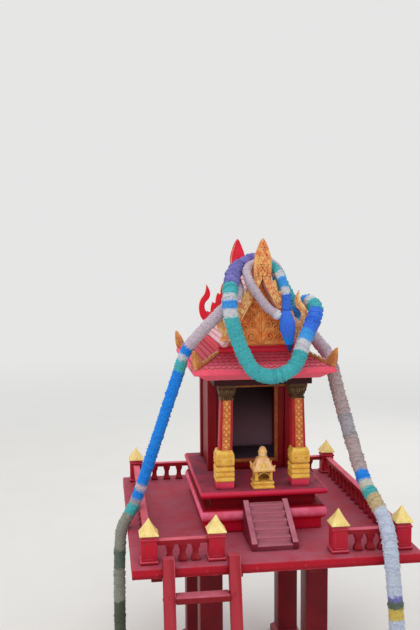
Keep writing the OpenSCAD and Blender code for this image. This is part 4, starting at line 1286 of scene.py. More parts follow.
class Finish(Enum):
    """Every paint and gilding on the house."""

    BEAM = Paint("beam_red_paint", rgb(122, 18, 28), rgb(96, 14, 22), dust=0.5)
    # Painted shade: the fascia is darker below 0.578 m. The wide rubbed edge is also a painted highlight on
    # the rounded nose.
    DECK = Paint(
        "platform_red_paint", rgb(190, 18, 42), rgb(166, 16, 36), dust=0.95, side_dust=0.02,
        dusty=rgb(170, 88, 106), wear_and_highlight_colour=rgb(214, 86, 104), wear=0.9, wear_width=0.006,
        lower=rgb(150, 16, 32), lower_z=0.578)
    # Painted light: front faces lighter than the sides, and a painted highlight on corners facing the front
    # and the right.
    LADDER = Paint(
        "ladder_red_paint", rgb(160, 20, 34), rgb(136, 16, 28), front=rgb(172, 48, 60), front_from=0.93,
        glint=rgb(222, 104, 116), dusty=rgb(196, 96, 112), wear_and_highlight_colour=rgb(186, 60, 74))
    RUNG = Paint(
        "rung_red_paint", rgb(140, 18, 30), rgb(116, 14, 26), dust=0.97,
        dusty=rgb(206, 108, 126), wear_and_highlight_colour=rgb(232, 120, 134))
    POST = Paint(
        "post_red_paint", rgb(190, 18, 42), rgb(178, 28, 48), dust=0.8, dusty=rgb(226, 120, 140))
    RAIL = Paint(
        "rail_red_paint", rgb(156, 20, 36), rgb(136, 16, 30), dust=0.95, dusty=rgb(232, 116, 134))
    # Painted highlight: the front edge is lighter above 0.7305 m, deep red below.
    SLAB = Paint(
        "slab_paint", rgb(222, 54, 88), rgb(204, 44, 76), dust=0.95, dusty=rgb(118, 62, 78),
        wear_and_highlight_colour=rgb(232, 120, 134), dust_from=0.72, dust_full=0.98,
        lower=rgb(198, 14, 44), lower_z=0.7305, soft=0.005)
    # Painted shadow and highlight: dark above 0.677 m for the slab's shadow on the moulding, and a pink
    # painted highlight on its belly from 0.639 to 0.675 m.
    PLINTH = Paint(
        "plinth_paint", rgb(134, 12, 26), rgb(118, 10, 22), dust=1.0, dusty=rgb(255, 130, 164),
        dust_from=-0.8, dust_full=0.0, specular=0.06, roughness=0.6, dust_band=(0.639, 0.675),
        lower=rgb(204, 24, 52), lower_z=0.677)
    STAIR = Paint(
        "stair_paint", rgb(170, 96, 110), rgb(158, 86, 100), dust=0.7, side_dust=0.3,
        dusty=rgb(176, 108, 122), grime_and_shade=0.25, front=rgb(188, 108, 124),
        lower=rgb(118, 26, 44), lower_z=0.615, soft=0.002)
    STRING = Paint(
        "stair_string_paint", rgb(134, 40, 58), rgb(112, 28, 44), dust=0.97, side_dust=0.02,
        dusty=rgb(198, 124, 142), wear_and_highlight_colour=rgb(176, 96, 114), dust_from=0.3, dust_full=0.6)
    WALL = Paint("wall_paint", rgb(142, 14, 22), rgb(124, 12, 20), dust=0.4)
    # Painted shade: the inner face, seen through the door, is dark towards the top and pale lilac lower down.
    REAR = Paint(
        "rear_wall_paint", rgb(142, 14, 22), rgb(124, 12, 20), dust=0.4, front=rgb(56, 32, 36),
        front_from=0.5, lower=rgb(186, 146, 164), lower_z=0.89, soft=0.11)
    # Painted shade: a dark colour inside the chamber, lighter grey-lilac below 0.87 m.
    ROOM = Paint(
        "room_paint", rgb(60, 30, 34), rgb(44, 20, 24), dusty=rgb(84, 74, 84),
        lower=rgb(104, 92, 108), lower_z=0.87, soft=0.09)
    # Painted shade under the eaves: the ceiling board is painted dark.
    SOFFIT = Paint("soffit_paint", rgb(58, 14, 16), rgb(44, 10, 12), dust=0.2, wear=0.2)
    SHAFT = Paint("shaft_red_paint", rgb(200, 42, 48), rgb(176, 34, 40), dust=0.4)
    FOOT = Paint(
        "column_foot_paint", rgb(230, 64, 94), rgb(208, 50, 80), dust=0.5, dusty=rgb(196, 96, 116))
    EAVE = Paint(
        "eave_paint", rgb(252, 96, 120), rgb(234, 80, 104), dust=0.55,
        dusty=rgb(232, 110, 128), wear_and_highlight_colour=rgb(240, 150, 160))
    # Painted highlight: lighter pink below 1.164 m, along the eave edge.
    SKIRT = Paint(
        "skirt_paint", rgb(196, 44, 62), rgb(168, 34, 50), dust=0.5, side_dust=0.1,
        dusty=rgb(204, 92, 110), lower=rgb(246, 112, 130), lower_z=1.164, soft=0.011)
    ROOF = Paint(
        "roof_paint", rgb(226, 140, 152), rgb(210, 112, 126), dust=0.95, side_dust=0.65,
        dusty=rgb(240, 204, 210))
    BRIGHT = Paint(
        "bright_red_paint", rgb(234, 36, 62), rgb(212, 30, 52), dust=0.3, wear_and_highlight_colour=rgb(236, 110, 116))
    GOLD = Gilt(
        "gold_paint", rgb(255, 212, 96), rgb(236, 172, 62), ground=rgb(150, 62, 24), show_ground=0.15,
        hollow=0.85)
    # Painted shade: a dark ground fills the shrine body's niche, reaching 5 cm in.
    NICHE_GOLD = Gilt(
        "niche_gold_paint", rgb(248, 200, 92), rgb(226, 160, 58), ground=rgb(72, 28, 24), show_ground=0.1,
        hollow=1.0, reach=0.05)
    ROSE_GOLD = Gilt(
        "rose_gold_paint", rgb(255, 218, 164), rgb(238, 178, 120), ground=rgb(156, 62, 40),
        show_ground=0.12, hollow=0.85)
    CAP_GOLD = Gilt(
        "cap_gold_paint", rgb(255, 238, 158), rgb(238, 202, 116), show_ground=0.1, hollow=0.4)
    STRIP_GOLD = Gilt(
        "strip_gold_paint", rgb(255, 206, 112), rgb(240, 160, 74), ground=rgb(168, 48, 30),
        show_ground=0.15, hollow=1.0, reach=0.0045)
    STRIP_GROUND = Gilt(
        "strip_ground_gilt", rgb(222, 130, 68), rgb(198, 92, 50), ground=rgb(158, 40, 30), hollow=1.0,
        reach=0.0045)
    # Painted shade under the eaves: the capitals' gold is painted dark brown.
    CAPITAL_GOLD = Gilt(
        "capital_gold_paint", rgb(88, 56, 24), rgb(62, 32, 12), ground=rgb(34, 12, 8), dust=0.06)
    DOOR_GOLD = Gilt("door_gold_paint", rgb(186, 104, 36), rgb(146, 70, 22), ground=rgb(96, 22, 16))
    HIP_GOLD = Gilt("hip_gold_paint", rgb(226, 160, 90), rgb(178, 96, 48), ground=rgb(130, 26, 26))
    CARVING = Gilt(
        "carved_orange_paint", rgb(255, 182, 100), rgb(246, 136, 66), ground=rgb(170, 54, 28),
        show_ground=0.12, reach=0.005)
    BOARD = Gilt(
        "gable_board_gilt", rgb(255, 222, 148), rgb(242, 140, 88), ground=rgb(196, 52, 46), hollow=0.8,
        reach=0.005, patches=62.0, contrast=0.12, inner=rgb(222, 36, 60))
    SPIRE = Gilt(
        "gable_spire_gilt", rgb(248, 192, 116), rgb(222, 116, 66), ground=rgb(186, 48, 40), hollow=0.9,
        reach=0.005, patches=62.0, contrast=0.14, inner=rgb(222, 36, 60))


@dataclass
class SubAssembly:
    """A part of the house, which dresses its own solids and adds its carved pieces."""

    nodes: dict[str, Piece]
    paints: dict[Finish, Material]

    @staticmethod
    def _soften(solid: Piece, radius: float) -> None:
        """Rounds a solid's corners with a chain of modifiers and shades its mouldings smooth.

        Args:
            solid: The solid.
            radius: Radius of the rounding, in metres.
        """
        solid.data.shade_smooth()
        weld = solid.modifiers.new("weld", "WELD")
        weld.merge_threshold = 1e-5
        flat = solid.modifiers.new("flat_faces", "DECIMATE")
        flat.decimate_type = "DISSOLVE"
        flat.angle_limit = math.radians(0.5)
        bevel = solid.modifiers.new("soft_corners", "BEVEL")
        bevel.width = radius
        bevel.segments = 2
        bevel.limit_method = "ANGLE"
        bevel.angle_limit = math.radians(28)
        bevel.use_clamp_overlap = True
        bevel.harden_normals = True

    def dress(self, names: str, finish: Finish, round_mm: float) -> None:
        """Dresses several solids alike.

        Args:
            names: Their names, with a space between two.
            finish: The finish they get.
            round_mm: Radius of their rounded corners.
        """
        for name in names.split():
            solid = self.nodes[name]
            solid.data.materials.clear()
            solid.data.materials.append(self.paints[finish])
            self._soften(solid, round_mm * MM)
            LOG.info("dressed %s in %s", name, finish.value.name)

    def keep(self, carving: Carving, name: str, finish: Finish, slot: Slot) -> None:
        """Turns what is carved into a piece.

        Args:
            carving: The carving.
            name: The piece's name.
            finish: The finish it gets.
            slot: The record's material slot; not used.
        """
        piece = mesh_piece(name, [p * MM for p in carving.points], carving.faces)
        finish_piece(piece, self.paints[finish])

    def build(self) -> None:
        """Dresses and carves it."""
        raise NotImplementedError


@dataclass
class Platform(SubAssembly):
    """The board on its legs and beams."""

    middle_y: float = 79.73
    width: float = 900.0
    depth: float = 960.0
    under: float = 568.0
    peg: float = 5.0
    peg_rise: float = 1.6
    peg_up: float = 12.0
    peg_pitch: float = 150.0

    def build(self) -> None:
        """Dresses the platform and sets a row of pegs into its edge."""
        self.dress("leg_pads legs cross_beams joists", Finish.BEAM, 2.0)
        self.dress("deck", Finish.DECK, 1.0)
        pegs = Carving()
        for i, face in enumerate(four_faces(0, self.middle_y, self.under, self.width / 2, self.depth / 2)):
            side = self.depth if i % 2 else self.width
            count = round(side / self.peg_pitch)
            for x in centred(count, side / count):
                pegs.bead(face, x, self.peg_up, self.peg, self.peg_rise)
        self.keep(pegs, "platform_pegs", Finish.DECK, Slot.DUSTY_RED)


@dataclass
class Ladder(SubAssembly):
    """The leaning ladder: round-edged rails, rungs and their pegs."""

    off: float = 244.0
    pitch: float = 197.0
    rail: float = 36.0
    rail_thick: float = 24.0
    lean: float = 13.0
    top_rung: float = 526.0
    rung_half: float = 10.0
    step: float = 122.0
    rungs: int = 4
    edge_y: float = -400.27
    edge_z: float = 584.0
    peg: float = 5.5
    peg_rise: float = 2.2
    nail: float = 3.4
    nail_rise: float = 1.6
    nail_off: float = 9.0

    def build(self) -> None:
        """Dresses the ladder and pegs the rungs' ends through the rails."""
        self.dress("ladder_rails", Finish.LADDER, 11.0)
        self.dress("ladder_rungs", Finish.RUNG, 3.0)
        tan, run = math.tan(math.radians(self.lean)), self.rail_thick / math.cos(math.radians(self.lean))
        pegs = Carving()
        for i in range(self.rungs):
            z = self.top_rung - self.rung_half - i * self.step
            y = self.edge_y - (self.edge_z - z) * tan - run / 2
            for side in SIDES:
                outer = Face.upright(-self.off + side * (self.pitch + self.rail) / 2, y, z, (0, side, 0))
                pegs.bead(outer, 0.0, 0.0, self.peg, self.peg_rise, 10)
                place = Vector((-self.off + side * self.pitch / 2, y - run / 2, z))
                front = Face(place, Vector((1, 0, 0)), Vector((0, -tan, 1)).normalized())
                for up in (self.nail_off, -self.nail_off):
                    pegs.bead(front, 0.0, up, self.nail, self.nail_rise)
        self.keep(pegs, "ladder_pegs", Finish.LADDER, Slot.RED)


@dataclass
class Fence(SubAssembly):
    """Posts with gold caps, rails and balusters."""

    middle_y: float = 79.73
    corner_x: float = 397.0
    corner_y: float = 427.0
    gate: float = 192.0
    deck: float = 600.0
    post: float = 48.0
    post_height: float = 87.0
    cap_height: float = 46.0
    cap_half: float = 27.0
    cap_slope: Point = (-13.0, -13.0, 18.0)
    foot_collar: Point = (5, 10, 3.5)
    head_collar: Point = (74, 7, 2.6)
    panel: tuple[Flat, ...] = ((-15, 4), (15, 4), (15, 54), (-15, 54), (-15, 4))

    def _post(self, x: float, y: float, collars: Carving, buds: Carving) -> None:
        """Carves one post's collars and panels, and the leaves and the bud on its cap.

        Args:
            x: The post's middle, to the right.
            y: Its middle, to the rear.
            collars: What collars and panels are gathered in.
            buds: What leaves and bud are gathered in.
        """
        half = self.post / 2
        for up, width, rise in (self.foot_collar, self.head_collar):
            collars.collar(x, y, self.deck + up, half, half, width, rise)
        for face in four_faces(x, y, self.deck + 12, half, half):
            collars.stroke(face, self.panel, 2.4, 1.0)
        cap_z = self.deck + self.post_height
        for face in four_faces(x, y, cap_z + 5, self.cap_half, self.cap_half, self.cap_slope):
            for turn in (-34, 0, 34):
                buds.petal(face, turn * 0.32, 1.0, 9.0, 17.0, 1.4, -turn)
        top = Face(Vector((x, y, cap_z + self.cap_height - 2)), Vector((1, 0, 0)), Vector((0, 1, 0)))
        buds.bead(top, 0.0, 0.0, 4.2, 5.0, 12)

    def build(self) -> None:
        """Dresses the fence and adds collars on the posts and buds on the caps."""
        self.dress("fence_posts", Finish.POST, 1.6)
        self.dress("front_left_fence front_right_fence left_fence right_fence rear_fence", Finish.RAIL, 1.6)
        self.dress("post_caps", Finish.CAP_GOLD, 0.8)
        collars, buds = Carving(), Carving()
        places = [(x, -self.corner_y) for x in (-self.corner_x, -self.gate, self.gate, self.corner_x)]
        places += [(x, self.corner_y) for x in (-self.corner_x, self.corner_x)]
        for x, y in places:
            self._post(x, self.middle_y + y, collars, buds)
        self.keep(collars, "post_collars", Finish.POST, Slot.RED)
        self.keep(buds, "post_cap_leaves", Finish.CAP_GOLD, Slot.GOLD)


@dataclass
class PlinthStair(SubAssembly):
    """The moulded plinth, its slab and the stair."""

    house_y: float = 106.73
    slab_w: float = 428.0
    slab_d: float = 525.0
    deck: float = 600.0
    stair_w: float = 113.0
    run: float = 160.0
    height: float = 105.0
    steps: int = 6
    nose: float = 4.4
    nose_rise: float = 1.5
    nose_down: float = 3.0
    beads: tuple[Flat, ...] = ((35.0, 19.0), (84.0, 34.0))
    bead: float = 5.0
    bead_rise: float = 2.5

    def build(self) -> None:
        """Dresses plinth and stair, rounds the steps' noses and runs a bead below and above the neck."""
        self.dress("plinth", Finish.PLINTH, 1.5)
        self.dress("plinth_slab", Finish.SLAB, 0.6)
        self.dress("stair_steps", Finish.STAIR, 2.0)
        self.dress("stair_strings", Finish.STRING, 2.0)
        noses, beads = Carving(), Carving()
        front = self.house_y - self.slab_d / 2
        for i in range(self.steps):
            y = front - self.run + i * self.run / self.steps
            z = self.deck + (i + 1) * self.height / self.steps - self.nose_down
            line = [(-self.stair_w / 2, 0), (self.stair_w / 2, 0)]
            noses.stroke(Face.upright(0, y, z), line, self.nose, self.nose_rise)
        self.keep(noses, "stair_noses", Finish.STAIR, Slot.DUSTY_RED)
        for up, inset in self.beads:
            half_w, half_d = self.slab_w / 2 - inset, self.slab_d / 2 - inset
            beads.collar(0, self.house_y, self.deck + up, half_w, half_d, self.bead, self.bead_rise)
        self.keep(beads, "plinth_beads", Finish.PLINTH, Slot.RED)


@dataclass
class Chamber(SubAssembly):
    """The chamber's walls and its carved door frame."""

    front_y: float = 98.73
    door_w: float = 174.0
    door_low: float = 781.0
    door_high: float = 1043.0
    jamb: float = 11.0
    fillet_off: float = 4.2
    diamond_pitch: float = 10.4
    diamond_rise: float = 2.2
    side_diamonds: int = 26
    head_diamonds: int = 24
    sill_diamonds: int = 17

    def build(self) -> None:
        """Dresses the chamber and carves the door frame."""
        self.dress("chamber_posts front_wall left_wall right_wall", Finish.WALL, 1.4)
        self.dress("chamber_floor", Finish.ROOM, 1.4)
        self.dress("rear_wall", Finish.REAR, 1.4)
        self.dress("ceiling_board", Finish.SOFFIT, 1.4)
        self.dress("door_frame", Finish.DOOR_GOLD, 0.8)
        carving = Carving()
        face = Face.upright(0, self.front_y, 0)
        middle = self.door_w / 2 + self.jamb / 2
        for side in SIDES:
            for edge in (-self.fillet_off, self.fillet_off):
                x = side * middle + edge
                carving.stroke(face, [(x, self.door_low - 8), (x, self.door_high + 2)], 2.0, 1.4)
            for k in range(self.side_diamonds):
                z = self.door_low + k * self.diamond_pitch
                carving.diamond(face, side * middle, z, 6.0, 8.6, self.diamond_rise)
        for count, z, height in (
            (self.head_diamonds, self.door_high + self.jamb / 2, 6.4),
            (self.sill_diamonds, self.door_low - self.jamb / 2, 6.0),
        ):
            for x in centred(count, self.diamond_pitch):
                carving.diamond(face, x, z, 8.6, height, self.diamond_rise)
        self.keep(carving, "door_frame_carving", Finish.DOOR_GOLD, Slot.GOLD)


@dataclass
class Porch(SubAssembly):
    """The two porch columns with their carved blocks, strips and capitals."""

    y: float = -95.27
    half: float = 128.0
    lean: float = 9.0
    floor_z: float = 743.0
    height: float = 347.0
    block: float = 30.5
    band_z: float = 767.0
    band_pitch: float = 16.7
    upper_z: float = 826.0
    flower_y: float = 13.5
    flower_hole: float = 2.6
    shaft_low: float = 22.0
    shaft_high: float = 20.5
    strip: float = 4.0
    strip_low: float = 873.0
    strip_high: float = 1040.0
    border_off: float = 12.2
    bosses: int = 8
    capital_down: float = 25.0
    collar_z: float = 1047.0
    collar_half: float = 20.0
    low_tier: Point = (1055.0, 22.0, 5.0)
    low_petal: Point = (14.0, 25.0, 3.2)
    high_tier: Point = (1063.0, 23.5, 5.5)
    high_petal: Point = (12.0, 18.0, 2.2)

    def _x(self, side: int, z: float) -> float:
        """Returns a column's middle at a height."""
        return side * (self.half - self.lean * (z - self.floor_z) / self.height)

    def _blocks(self, carving: Carving, side: int) -> None:
        """Carves leaves on the lower block's bands and a flower on the upper block.

        Args:
            carving: What it is gathered in.
            side: -1 for the left column, 1 for the right one.
        """
        for band in range(3):
            z = self.band_z + band * self.band_pitch
            for face in four_faces(side * self.half, self.y, z, self.block, self.block):
                for x in centred(6, 9.6):
                    carving.petal(face, x, 3.4, 8.4, 11.4, 1.7)
        hole, up = self.flower_hole, self.flower_y
        for face in four_faces(side * self.half, self.y, self.upper_z, self.block, self.block):
            for edge in (1.5, 26):
                carving.stroke(face, [(-25, edge), (25, edge)], 2.6, 1.8)
            for k in range(8):
                a = math.radians(45.0 * k)
                carving.petal(face, -hole * math.sin(a), up + hole * math.cos(a), 5.6, 8.4, 1.7, 45.0 * k)
            carving.bead(face, 0.0, up, 3.0, 2.8)
            for way in SIDES:
                line = curl(way * 17.5, up, 6.4, 90 - way * 60, -way * 1.4)
                carving.stroke(face, line, 3.0, 2.0, (0.8, 0.4))
            for x in centred(7, 7.4):
                carving.bead(face, x, 31.5, 2.0, 1.3, 6)

    def _capital(self, carving: Carving, side: int) -> None:
        """Carves two tiers of lotus petals round a capital, over a row of beads.

        Args:
            carving: What it is gathered in.
            side: -1 for the left column, 1 for the right one.
        """
        x = self._x(side, self.floor_z + self.height - self.capital_down)
        for (z, half, out), petal, count, pitch, turn, lift in (
            (self.low_tier, self.low_petal, 3, 15.0, 5.0, 1.5),
            (self.high_tier, self.high_petal, 4, 14.0, 4.0, 1.0),
        ):
            for face in four_faces(x, self.y, z, half, half, (out, out, petal[1])):
                for k in centred(count, 1.0):
                    carving.petal(face, k * pitch, 0.0, *petal, -turn * k, lift)
        for face in four_faces(x, self.y, self.collar_z, self.collar_half, self.collar_half):
            for off in centred(7, 5.8):
                carving.bead(face, off, 3.0, 2.3, 1.8, 6)

    def _strip(self, carving: Carving, borders: Carving, side: int) -> None:
        """Carves the edges of a strip, and bosses with beads and small leaves on and beside them.

        Args:
            carving: What the bosses are gathered in.
            borders: What the edges are gathered in.
            side: -1 for the left column, 1 for the right one.
        """
        low_z, high_z = self.strip_low, self.strip_high
        low = (self._x(side, low_z), self.y - self.shaft_low - self.strip, low_z)
        high = (self._x(side, high_z), self.y - self.shaft_high - self.strip, high_z)
        face = Face.between(low, high, (1, 0, 0))
        pitch = (high_z - low_z) / self.bosses
        for edge in (-self.border_off, self.border_off):
            borders.stroke(face, [(edge, 1), (edge, high_z - low_z - 1)], 2.4, 2.4)
        for k in range(self.bosses):
            carving.diamond(face, 0.0, (k + 0.5) * pitch, 15.0, 17.5, 5.8)
            carving.bead(face, 0.0, (k + 0.5) * pitch, 2.6, 7.0)
        for k in range(self.bosses + 1):
            for way in SIDES:
                if 0 < k < self.bosses:
                    carving.petal(face, way * 10.0, k * pitch - 5.5, 4.6, 11.0, 2.2, way * 14.0)
                up = max(2.0, min(self.bosses * pitch - 2, k * pitch))
                carving.bead(face, way * 4.0, up, 1.9, 2.2, 6)

    def build(self) -> None:
        """Dresses the porch and carves both columns."""
        self.dress("column_feet", Finish.FOOT, 1.4)
        self.dress("column_bases", Finish.GOLD, 0.6)
        self.dress("columns", Finish.SHAFT, 1.5)
        self.dress("column_strips", Finish.STRIP_GROUND, 0.5)
        self.dress("column_capitals", Finish.CAPITAL_GOLD, 0.6)
        blocks, strips, borders, capitals = Carving(), Carving(), Carving(), Carving()
        for side in SIDES:
            self._blocks(blocks, side)
            self._strip(strips, borders, side)
            self._capital(capitals, side)
        self.keep(blocks, "column_block_carving", Finish.GOLD, Slot.GOLD)
        self.keep(strips, "column_strip_carving", Finish.STRIP_GOLD, Slot.GOLD)
        self.keep(borders, "column_strip_borders", Finish.STRIP_GROUND, Slot.GOLD)
        self.keep(capitals, "capital_petals", Finish.CAPITAL_GOLD, Slot.GOLD)


@dataclass
class SkirtRoof(SubAssembly):
    """The low roof round the house: courses of tiles, hips and corner leaves."""

    roof_y: float = 126.73
    half_w: float = 227.0
    half_d: float = 293.0
    foot_z: float = 1152.0
    inset: float = 82.0
    rise: float = 40.0
    courses: int = 5
    tile_w: float = 19.0
    tile_thick: float = 2.6
    lap: float = 1.3
    last_lap: float = 0.9
    leaf_in: float = 24.0
    leaf_half: float = 6.5
    buds: int = 5
    bud_from: float = 0.30
    bud_pitch: float = 0.145
    bud_up: float = 8.2

    def _tiles(self, tiles: Carving) -> None:
        """Lays the tiles on the four slopes.

        Args:
            tiles: What they are gathered in.
        """
        length = math.hypot(self.inset, self.rise)
        course = length / self.courses
        slope = (-self.inset, -self.inset, self.rise)
        for i, face in enumerate(four_faces(0, self.roof_y, self.foot_z, self.half_w, self.half_d, slope)):
            half = self.half_d if i % 2 else self.half_w
            for row in range(self.courses):
                reach = half - (row + 0.9) * course * self.inset / length - 8.0
                count = round(2 * reach / self.tile_w)
                width = 2 * reach / count
                long = course * (self.lap if row < self.courses - 1 else self.last_lap)
                for x in centred(count, width):
                    tiles.tile(face, x, row * course + 0.6, width, long, self.tile_thick)

    def _corner(self, veins: Carving, sx: int, sy: int) -> None:
        """Carves one corner leaf's veins, and buds along the hip above it.

        Args:
            veins: What the carving is gathered in.
            sx: -1 for a corner on the left, 1 for one on the right.
            sy: -1 for a corner at the front, 1 for one at the rear.
        """
        corner = Vector((sx * self.half_w, self.roof_y + sy * self.half_d, self.foot_z))
        out = Vector((sx * self.half_w, sy * self.half_d, 0)).normalized()
        for hand in SIDES:
            side = Vector((-out.y, out.x, 0)) * hand
            face = Face(corner - self.leaf_in * out - side * self.leaf_half, out * hand, Vector((0, 0, 1)))
            veins.stroke(face, on_side(bow((10, 8), (30, 24), (33, 56), 10), hand), 6.0, 3.0, (0.8, 0.2))
            veins.stroke(face, on_side(curl(17, 22, 7.0, 200, -1.3), hand), 3.6, 2.6, (0.9, 0.4))
        run = Vector((-sx * self.inset, -sy * self.inset, self.rise))
        along = run.normalized()
        level = Vector((-sx * sy, 1.0, 0))
        across = (level - level.dot(along) * along).normalized()
        if across.cross(along).z < 0:
            across = -across
        for k in range(self.buds):
            place = corner + run * (self.bud_from + self.bud_pitch * k) + Vector((0, 0, self.bud_up))
            veins.petal(Face(place, across, along), 0, -6.0, 12.0, 15.0, 3.4, 0.0, 4.0)

    def build(self) -> None:
        """Dresses the skirt roof, lays its tiles and carves its leaves."""
        self.dress("skirt_roof", Finish.SKIRT, 0.6)
        self.dress("eave_boards", Finish.EAVE, 1.4)
        self.dress("hip_ridges corner_leaves", Finish.HIP_GOLD, 1.0)
        tiles, veins = Carving(), Carving()
        self._tiles(tiles)
        self.keep(tiles, "skirt_tiles", Finish.SKIRT, Slot.DUSTY_RED)
        for sx in SIDES:
            for sy in SIDES:
                self._corner(veins, sx, sy)
        self.keep(veins, "corner_leaf_carving", Finish.HIP_GOLD, Slot.GOLD)


@dataclass(frozen=True)
class RoofLine:
    """The hollow line that the roof and the gable boards follow."""

    half: float = 140.0
    drop: float = 260.0
    power: float = 1.12

    def reach(self, top: float, z: float) -> float:
        """Returns half the width at height z under a line that starts at top."""
        return self.half * (max(0.0, top - z) / self.drop) ** self.power

    def line(self, top: float, low: float, high: float, steps: int, side: int = 1) -> list[Flat]:
        """Returns points from height low to height high on one side of the line."""
        heights = [low + (high - low) * i / steps for i in range(steps + 1)]
        return [(side * self.reach(top, z), z) for z in heights]


@dataclass
class MainRoof(SubAssembly):
    """The two hollow slopes with their tiles, the ridge and the block under them."""

    roof_y: float = 126.73
    top: float = 1462.0
    foot: float = 1215.0
    length: float = 456.0
    courses: int = 16
    tile_w: float = 20.7
    tile_thick: float = 2.8
    lap: float = 1.25
    last_lap: float = 0.95
    ridge_half: float = 9.0
    ridge_leaves: int = 28
    roof_line: RoofLine = RoofLine()

    def _tiles(self, tiles: Carving) -> None:
        """Lays the tiles course by course on both slopes.

        Args:
            tiles: What they are gathered in.
        """
        line = self.roof_line.line(self.top, self.foot, self.top - 8.0, 200)
        lengths = [0.0]
        for a, b in zip(line, line[1:]):
            lengths.append(lengths[-1] + math.dist(a, b))
        course = lengths[-1] / self.courses
        places = []
        for row in range(self.courses + 1):
            nearest = min(range(len(lengths)), key=lambda i: abs(lengths[i] - row * course))
            places.append(line[nearest])
        count = round(self.length / self.tile_w)
        width = self.length / count
        for side in SIDES:
            for row, (low, high) in enumerate(zip(places, places[1:])):
                foot, head = ((side * x, self.roof_y, z) for x, z in (low, high))
                face = Face.between(foot, head, (0, side, 0))
                long = course * (self.lap if row < self.courses - 1 else self.last_lap)
                for x in centred(count - row % 2, width):
                    tiles.tile(face, x, 0.0, width, long, self.tile_thick)

    def build(self) -> None:
        """Dresses the roof, lays its tiles and sets leaves along the ridge."""
        self.dress("left_roof_slope right_roof_slope", Finish.ROOF, 0.6)
        self.dress("attic_block ridge_cap", Finish.BRIGHT, 1.0)
        tiles, ridge = Carving(), Carving()
        self._tiles(tiles)
        self.keep(tiles, "main_roof_tiles", Finish.ROOF, Slot.DUSTY_RED)
        for side in SIDES:
            face = Face.upright(side * self.ridge_half, self.roof_y, self.top - 2, (0, side, 0))
            for x in centred(self.ridge_leaves, 16.0):
                ridge.petal(face, x, -6.0, 13.0, 13.0, 1.6)
        self.keep(ridge, "ridge_leaves", Finish.BRIGHT, Slot.RED)


